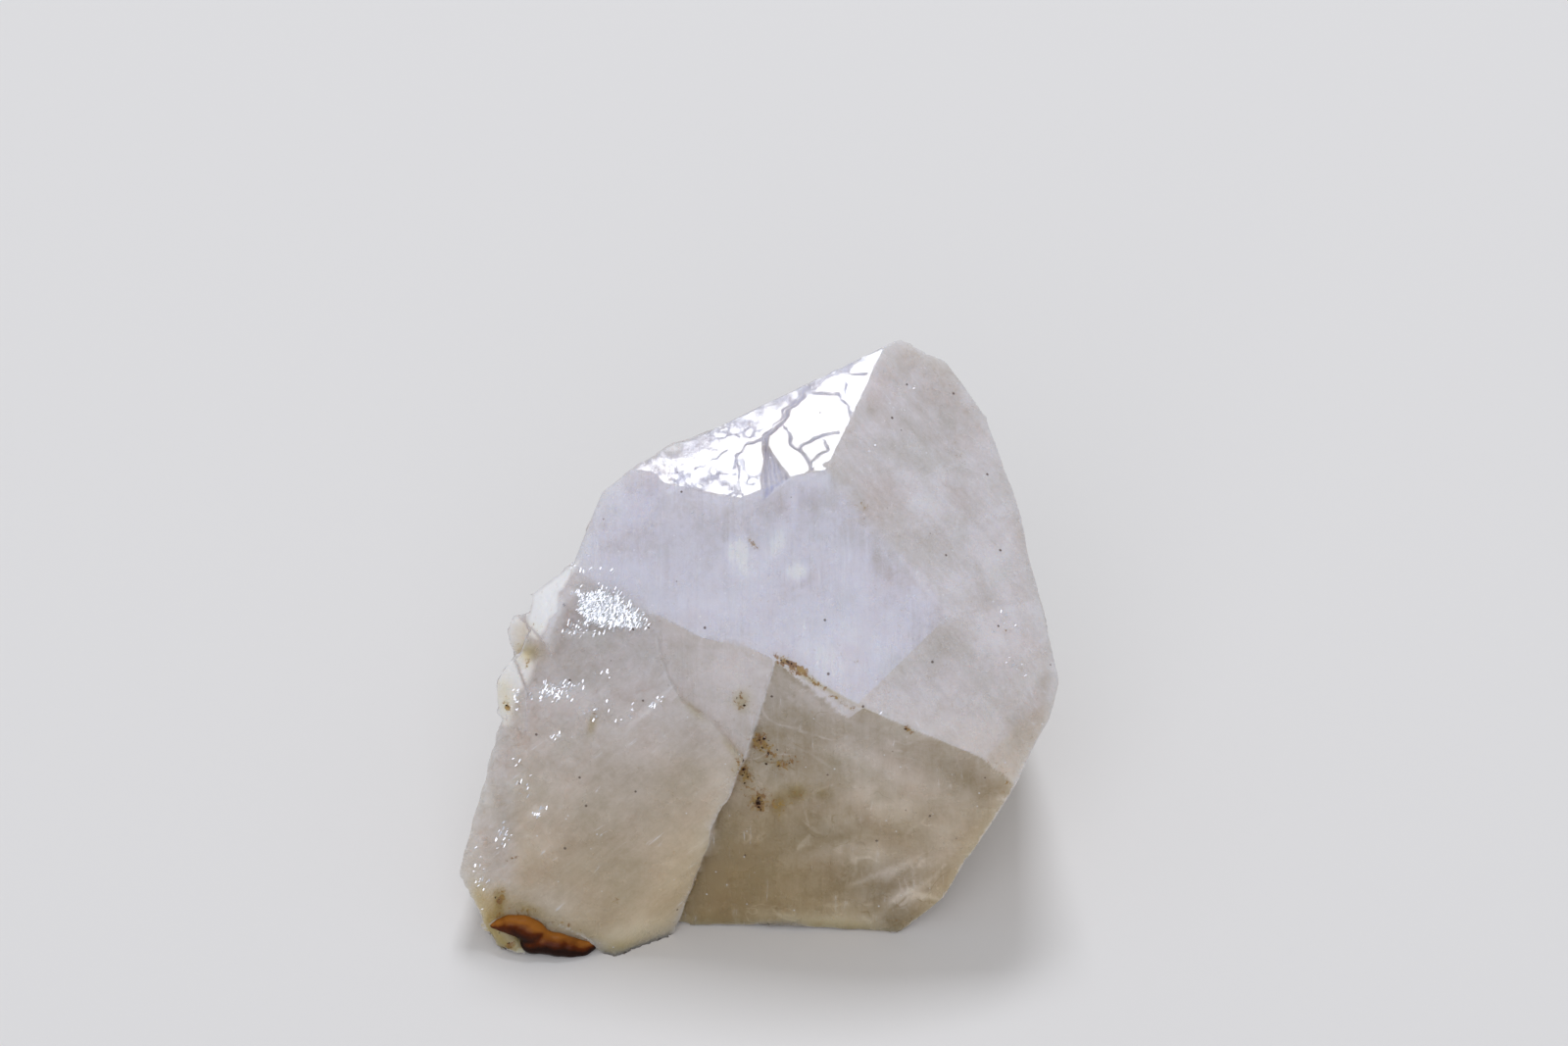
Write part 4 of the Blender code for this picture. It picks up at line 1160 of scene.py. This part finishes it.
    # Fine relief: frost, growth streaks and ripples.
    relief = addNode(tree, "ShaderNodeMath", {
        0: shares["streak"], 1: milkyQuartz["streakRelief"], 2: shares["fine"]},
        operation="MULTIPLY_ADD").outputs[0]
    bump = addNode(tree, "ShaderNodeBump", {
        "Strength": shares["matt"], "Distance": milkyQuartz["reliefDepth"] * mm, "Height": relief})
    furthest = max(milkyQuartz["scatterReach"])
    surface = addNode(tree, "ShaderNodeBsdfPrincipled", {
        "Base Color": colour, "Roughness": shine, "IOR": milkyQuartz["ior"], "Normal": bump.outputs[0],
        "Subsurface Weight": milkyQuartz["scattered"],
        "Subsurface Radius": [reach / furthest for reach in milkyQuartz["scatterReach"]],
        "Subsurface Scale": furthest * mm, "Transmission Weight": shares["clear"]})
    addNode(tree, "ShaderNodeOutputMaterial", {"Surface": surface.outputs[0]})
    return material


# Puts a mesh worked out in mm into the frame as a piece that rides on the one body.
def finishedPiece(name, mesh, material, node=None):
    mesh.transform(Matrix.Scale(mm, 4))
    piece = newObject(name, mesh)
    mesh.materials.clear()
    mesh.materials.append(material)
    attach(piece, "root")
    if node:
        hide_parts(node)
    return piece


# The iron crust dripped and set as two tongues in a hollow of the quartz, the left one over the right.
crust = {
    "cell": 0.05,  # mm
    "stretch": 1.3,  # how much wider than tall each mound is
    "slope": math.radians(12),  # how far each mound tips down to the right
    "smoothRounds": 30,
    "uneven": 0.02,  # mm
    "pore": 0.03,  # mm
    "raised": 0.03,  # mm, to make up for what smoothing takes
    "beyondBox": ((0.3, 0.0, 0.02), (0.2, 0.2, 0.4)),  # mm, how far past its CAD box it may reach
    "thinFacing": (0.0, 1.25),  # how squarely up a place faces as the skin goes from thick to thinner, also painted light on the tops and painted shade beneath
    "colours": ("#A06424", "#5A2502", "#220B02"),  # thinnest and lit, middling, and thickest and shaded
    # across, up and out on the front, and radius, in mm
    "mounds": (
        (-12.94, -13.42, -1.6, 0.15), (-12.5, -13.37, -1.6, 0.33), (-12.0, -13.36, -1.6, 0.5),
        (-11.5, -13.45, -1.6, 0.59), (-11.1, -13.66, -1.62, 0.6), (-11.0, -14.3, -1.85, 0.5),
        (-10.4, -14.2, -1.85, 0.62), (-9.8, -14.32, -1.85, 0.61), (-9.2, -14.45, -1.9, 0.54),
        (-8.7, -14.5, -1.95, 0.44), (-8.25, -14.36, -1.95, 0.3), (-7.85, -14.22, -1.9, 0.15),
    ),
    # where the skin is thinner and looks ochre, and painted light where the tongues catch the lamps: across,
    # up, two radii in mm, turn in degrees, strength
    "thinSpots": (
        (-10.5, -13.55, 0.4, 0.22, 0, 0.5), (-12.85, -13.45, 0.4, 0.3, 0, 0.4),
        (-9.6, -13.85, 1.2, 0.16, -12, 0.3), (-11.6, -13.05, 0.8, 0.22, -10, 0.35),
        (-12.3, -13.6, 0.5, 0.3, -15, 0.2), (-11.0, -14.25, 0.5, 0.35, 0, 0.22),
        (-11.9, -13.8, 0.9, 0.22, -12, 0.18),
    ),
}


def crustMesh():
    shape = bmesh.new()
    for across, up, out, radius in crust["mounds"]:
        place = Matrix.Translation(placeSeen(across, up, out)) @ Matrix.Rotation(crust["slope"], 4, "Y")
        place = place @ Matrix.Diagonal((crust["stretch"] * radius, radius, radius, 1.0))
        bmesh.ops.create_icosphere(shape, subdivisions=4, radius=1.0, matrix=place)
    mesh = evenMesh(shape, crust["cell"])
    points = meshPoints(mesh)
    edges = meshEdges(mesh)
    points = relaxed(points, edges, np.full(len(points), 0.5), crust["smoothRounds"])
    setPoints(mesh, points)
    normals = meshNormals(mesh)
    across, up, _ = seenPlaces(points)
    # Ochre on top and near black below: a thinner or thicker skin, with painted light from above and painted
    # shade beneath.
    thin = ramp(normals[:, 2], *crust["thinFacing"]) + 0.1 * softNoise(points, 1.1, 211, 2)
    thin = np.clip(thin + spotField(across, up, crust["thinSpots"]), 0, 1)
    pores = ramp(softNoise(points, 0.28, 205, 2), 0.95, 1.3)
    sink = crust["uneven"] * softNoise(points, 0.9, 201, 2) + crust["pore"] * pores - crust["raised"]
    points = points - sink[:, None] * normals
    lowest, highest = np.array(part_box("iron_oxide_crust")) / mm
    below, above = crust["beyondBox"]
    points = np.clip(points, lowest - below, highest + above)
    setPoints(mesh, points)
    layer = mesh.attributes.new("thin", "FLOAT", "POINT")
    layer.data.foreach_set("value", thin.astype(np.float32))
    mesh.shade_smooth()
    return mesh


# Iron oxide: a glassy limonite skin over goethite, ochre where thinner and near black where thick. On the
# crust its share also holds painted light on the tops and painted shade beneath.
ironOxide = {
    "mottle": {"Scale": 2.4, "Detail": 5.0},
    "mottling": 0.09,  # how far the mottle shifts the thinness
    "stops": (0.95, 0.5, 0.1),  # the thinness at the thin, middling and thick colours
    "roughness": (0.16, 0.34),  # where thick and where thin
    "fine": {"Scale": 6.0, "Detail": 5.0},
    "relief": 0.5,
    "reliefDepth": 0.03,  # mm
    "ior": 1.5,
    "specular": 0.12,
    "scattered": 0.15,
    "scatterColour": (1.0, 0.45, 0.15),
    "scatterReach": 0.3,  # mm
}


def oxideMaterial(name, colours):
    material, tree = newMaterial(name)
    inMm = placeInMm(tree)
    thin = addNode(tree, "ShaderNodeAttribute", {}, attribute_name="thin").outputs["Fac"]
    mottle = addNode(tree, "ShaderNodeTexNoise", {"Vector": inMm, **ironOxide["mottle"]}).outputs["Fac"]
    mottle = addNode(tree, "ShaderNodeMapRange", {
        0: mottle, 1: 0.3, 2: 0.7, 3: -ironOxide["mottling"], 4: ironOxide["mottling"]}).outputs[0]
    share = addNode(tree, "ShaderNodeMath", {0: thin, 1: mottle}, operation="ADD").outputs[0]
    ramped = addNode(tree, "ShaderNodeValToRGB", {0: share})
    thickest, thinnest = ramped.color_ramp.elements
    thinnest.position, middling, thickest.position = ironOxide["stops"]
    thinnest.color, midColour, thickest.color = (hexColour(code) for code in colours)
    ramped.color_ramp.elements.new(middling).color = midColour
    whereThick, whereThin = ironOxide["roughness"]
    shine = addNode(tree, "ShaderNodeMapRange", {
        0: share, 1: 0.0, 2: 1.0, 3: whereThick, 4: whereThin}).outputs[0]
    fine = addNode(tree, "ShaderNodeTexNoise", {"Vector": inMm, **ironOxide["fine"]}).outputs["Fac"]
    bump = addNode(tree, "ShaderNodeBump", {
        "Strength": ironOxide["relief"], "Distance": ironOxide["reliefDepth"] * mm, "Height": fine})
    surface = addNode(tree, "ShaderNodeBsdfPrincipled", {
        "Base Color": ramped.outputs[0], "Roughness": shine, "IOR": ironOxide["ior"],
        "Specular IOR Level": ironOxide["specular"], "Normal": bump.outputs[0],
        "Subsurface Weight": ironOxide["scattered"], "Subsurface Radius": ironOxide["scatterColour"],
        "Subsurface Scale": ironOxide["scatterReach"] * mm})
    addNode(tree, "ShaderNodeOutputMaterial", {"Surface": surface.outputs[0]})
    return material


# Small quartz steps that lie level with the front, and grains of iron oxide stuck in the stains. Lengths are
# in mm, and a shape is given as shares of its size.
flakes = {
    "mask": "flash",
    "unit": ("GeometryNodeMeshCylinder", {"Vertices": 6, "Radius": 0.5, "Depth": 0.5}),
    "perSquareMm": 190.0,
    "size": (0.05, 0.15),
    "thinnest": (1.1, 0.4, 0.3),
    "fattest": (2.6, 0.8, 0.6),
    "lift": 0.03,
    "upward": tuple(outOfFront),
    "lean": 0.27,  # how far each one may tip from that direction
    "turn": (math.radians(48) - 0.6, math.radians(48) + 0.6),  # which way its long side runs, in radians
    "uneven": 0.0,
    "seed": 4,
    "colour": "#F6F9FF",
    "roughness": 0.18,
    "foil": 0.8,  # share of the light that the crack film under a flake throws back
    "scattered": 0.3,
    "scatterColour": (1.0, 0.95, 0.9),
    "scatterReach": 0.1,
}
grains = {
    "mask": "grain",
    "unit": ("GeometryNodeMeshIcoSphere", {"Radius": 0.5, "Subdivisions": 2}),
    "perSquareMm": 26.0,
    "size": (0.04, 0.14),
    "thinnest": (0.7, 0.4, 0.5),
    "fattest": (1.6, 1.0, 0.9),
    "lift": 0.0,
    "upward": (0.0, 0.0, 1.0),
    "lean": 1.0,
    "turn": (-3.2, 3.2),
    "uneven": 0.2,  # how far a grain's surface may wander
    "seed": 9,
    "colours": ("#9E7A28", "#74501A", "#2C170A"),  # thin, middling and thick
}


# Scatters a unit over the host where its mask is, each with a random tip, turn, size and shape.
def scatterTree(name, sizes, material):
    tree = bpy.data.node_groups.new(name, "GeometryNodeTree")
    tree.interface.new_socket(name="Host", in_out="INPUT", socket_type="NodeSocketGeometry")
    tree.interface.new_socket(name="Scattered", in_out="OUTPUT", socket_type="NodeSocketGeometry")
    host = addNode(tree, "NodeGroupInput", {}).outputs["Host"]
    mask = addNode(tree, "GeometryNodeInputNamedAttribute", {"Name": sizes["mask"]}).outputs["Attribute"]
    crowd = addNode(tree, "ShaderNodeMath", {0: mask, 1: sizes["perSquareMm"]},
                    operation="MULTIPLY").outputs[0]
    spread = addNode(tree, "GeometryNodeDistributePointsOnFaces",
                     {"Mesh": host, "Density": crowd, "Seed": sizes["seed"]}).outputs["Points"]
    unit = addNode(tree, *sizes["unit"]).outputs[0]

    # Random draws, each from the least to the most.
    draws = {}
    for draw, least, most in (("tip", (-1, -1, -1), (1, 1, 1)), ("turn", *sizes["turn"]),
                              ("size", *sizes["size"]), ("shape", sizes["thinnest"], sizes["fattest"])):
        vector = isinstance(least, tuple)
        first = 0 if vector else 2
        draws[draw] = addNode(tree, "FunctionNodeRandomValue", {
            first: least, first + 1: most, "Seed": sizes["seed"]},
            data_type="FLOAT_VECTOR" if vector else "FLOAT").outputs[0 if vector else 1]
    tipped = addNode(tree, "ShaderNodeVectorMath", {0: draws["tip"], "Scale": sizes["lean"]},
                     operation="SCALE").outputs[0]
    aimed = addNode(tree, "ShaderNodeVectorMath", {0: sizes["upward"], 1: tipped}, operation="ADD").outputs[0]
    facing = addNode(tree, "FunctionNodeAlignRotationToVector", {"Vector": aimed}, axis="Z").outputs[0]
    roll = addNode(tree, "FunctionNodeAxisAngleToRotation",
                   {"Axis": (0, 0, 1), "Angle": draws["turn"]}).outputs[0]
    turned = addNode(tree, "FunctionNodeRotateRotation", {0: facing, 1: roll},
                     rotation_space="LOCAL").outputs[0]
    scale = addNode(tree, "ShaderNodeVectorMath", {0: draws["shape"], "Scale": draws["size"]},
                    operation="SCALE").outputs[0]
    lift = tuple(sizes["lift"] * share for share in sizes["upward"])
    lifted = addNode(tree, "GeometryNodeSetPosition", {"Geometry": spread, "Offset": lift}).outputs[0]
    placed = addNode(tree, "GeometryNodeInstanceOnPoints", {
        "Points": lifted, "Instance": unit, "Rotation": turned, "Scale": scale}).outputs[0]
    real = addNode(tree, "GeometryNodeRealizeInstances", {"Geometry": placed}).outputs[0]
    where = addNode(tree, "GeometryNodeInputPosition", {}).outputs[0]
    wobble = addNode(tree, "ShaderNodeTexNoise", {"Vector": where, "Scale": 9.0, "Detail": 2.0})
    centred = addNode(tree, "ShaderNodeVectorMath", {0: wobble.outputs["Color"], 1: (0.5, 0.5, 0.5)},
                      operation="SUBTRACT").outputs[0]
    shift = addNode(tree, "ShaderNodeVectorMath", {0: centred, "Scale": sizes["uneven"]},
                    operation="SCALE").outputs[0]
    moved = addNode(tree, "GeometryNodeSetPosition", {"Geometry": real, "Offset": shift}).outputs[0]
    finished = addNode(tree, "GeometryNodeSetMaterial", {"Geometry": moved, "Material": material}).outputs[0]
    addNode(tree, "NodeGroupOutput", {"Scattered": finished})
    return tree


def scatteredMesh(name, host, sizes, material):
    holder = newObject("holder", host.copy())
    scatter = holder.modifiers.new("scatter", "NODES")
    scatter.node_group = scatterTree(name, sizes, material)
    made = evaluatedMesh(holder)
    bpy.data.objects.remove(holder)
    setPoints(made, np.clip(meshPoints(made), np.array(cadBox[0]) / mm, np.array(cadBox[1]) / mm))
    print(name + ":", len(made.polygons), "faces")
    return made


# Clear little quartz steps: glassy and nearly colourless, with a crack film under each that throws the light
# back like foil.
def flakeMaterial():
    material, tree = newMaterial("quartz_glassy_steps")
    surface = addNode(tree, "ShaderNodeBsdfPrincipled", {
        "Base Color": hexColour(flakes["colour"]), "Roughness": flakes["roughness"],
        "Metallic": flakes["foil"], "IOR": milkyQuartz["ior"], "Subsurface Weight": flakes["scattered"],
        "Subsurface Radius": flakes["scatterColour"], "Subsurface Scale": flakes["scatterReach"] * mm})
    addNode(tree, "ShaderNodeOutputMaterial", {"Surface": surface.outputs[0]})
    return material


flakeFinish = flakeMaterial()
flakePieceMesh = scatteredMesh("quartz_step_flakes", mesh, flakes, flakeFinish)
grainFinish = oxideMaterial("iron_oxide_grains", grains["colours"])
grainPieceMesh = scatteredMesh("iron_oxide_grains", mesh, grains, grainFinish)
finishedPiece("quartz_step_flakes", flakePieceMesh, flakeFinish)
finishedPiece("iron_oxide_grains", grainPieceMesh, grainFinish)
mesh.shade_smooth()
mesh.set_sharp_from_angle(angle=quartz["creaseAngle"])
finishedPiece("quartz_specimen", mesh, quartzMaterial(), "quartz_cluster")
crustFinish = oxideMaterial("iron_oxide_glassy_crust", crust["colours"])
finishedPiece("iron_crust", crustMesh(), crustFinish, "iron_oxide_crust")
print("pieces finished")


def buildStage():
    shape = bmesh.new()
    bmesh.ops.create_grid(shape, x_segments=1, y_segments=1, size=studio["floorSide"] / 2)
    floorMesh = bpy.data.meshes.new("floor")
    shape.to_mesh(floorMesh)
    shape.free()
    floor = newObject("floor", floorMesh)
    material, tree = newMaterial("floor_matt_paint")
    surface = addNode(tree, "ShaderNodeBsdfPrincipled", {
        "Base Color": hexColour(studio["floorColour"]), "Roughness": 0.8})
    addNode(tree, "ShaderNodeOutputMaterial", {"Surface": surface.outputs[0]})
    floorMesh.materials.append(material)


def buildSoftBoxes():
    aim = Vector((0.0, 0.0, studio["softBoxAim"] * mm))
    for name, (direction, distance, side, power, colour) in studio["softBoxes"].items():
        lamp = bpy.data.lights.new(name, "AREA")
        lamp.shape = "SQUARE"
        lamp.size = side
        lamp.energy = power
        lamp.color = hexColour(colour)[:3]
        made = newObject(name, lamp)
        direction = Vector(direction).normalized()
        made.location = aim + direction * distance
        made.rotation_euler = direction.to_track_quat("Z", "Y").to_euler()


def buildWorld():
    world = bpy.data.worlds.new("studio")
    bpy.context.scene.world = world
    world.use_nodes = True
    background = world.node_tree.nodes["Background"]
    background.inputs["Color"].default_value = hexColour(studio["worldColour"])
    background.inputs["Strength"].default_value = studio["worldStrength"]
    bpy.context.scene.view_settings.view_transform = "Standard"


def buildCamera():
    camera = newObject("camera", bpy.data.cameras.new("camera"))
    camera.location = Vector(placeOnFront(*studio["cameraAim"], studio["cameraDistance"])) * mm
    camera.rotation_euler = Vector(outOfFront).to_track_quat("Z", "Y").to_euler()
    camera.data.lens = studio["lens"]
    camera.data.sensor_width = studio["filmWidth"]
    camera.data.clip_start = studio["nearestSeen"]
    bpy.context.scene.camera = camera


buildStage()
buildSoftBoxes()
buildWorld()
buildCamera()
print("stage, lights and camera built")
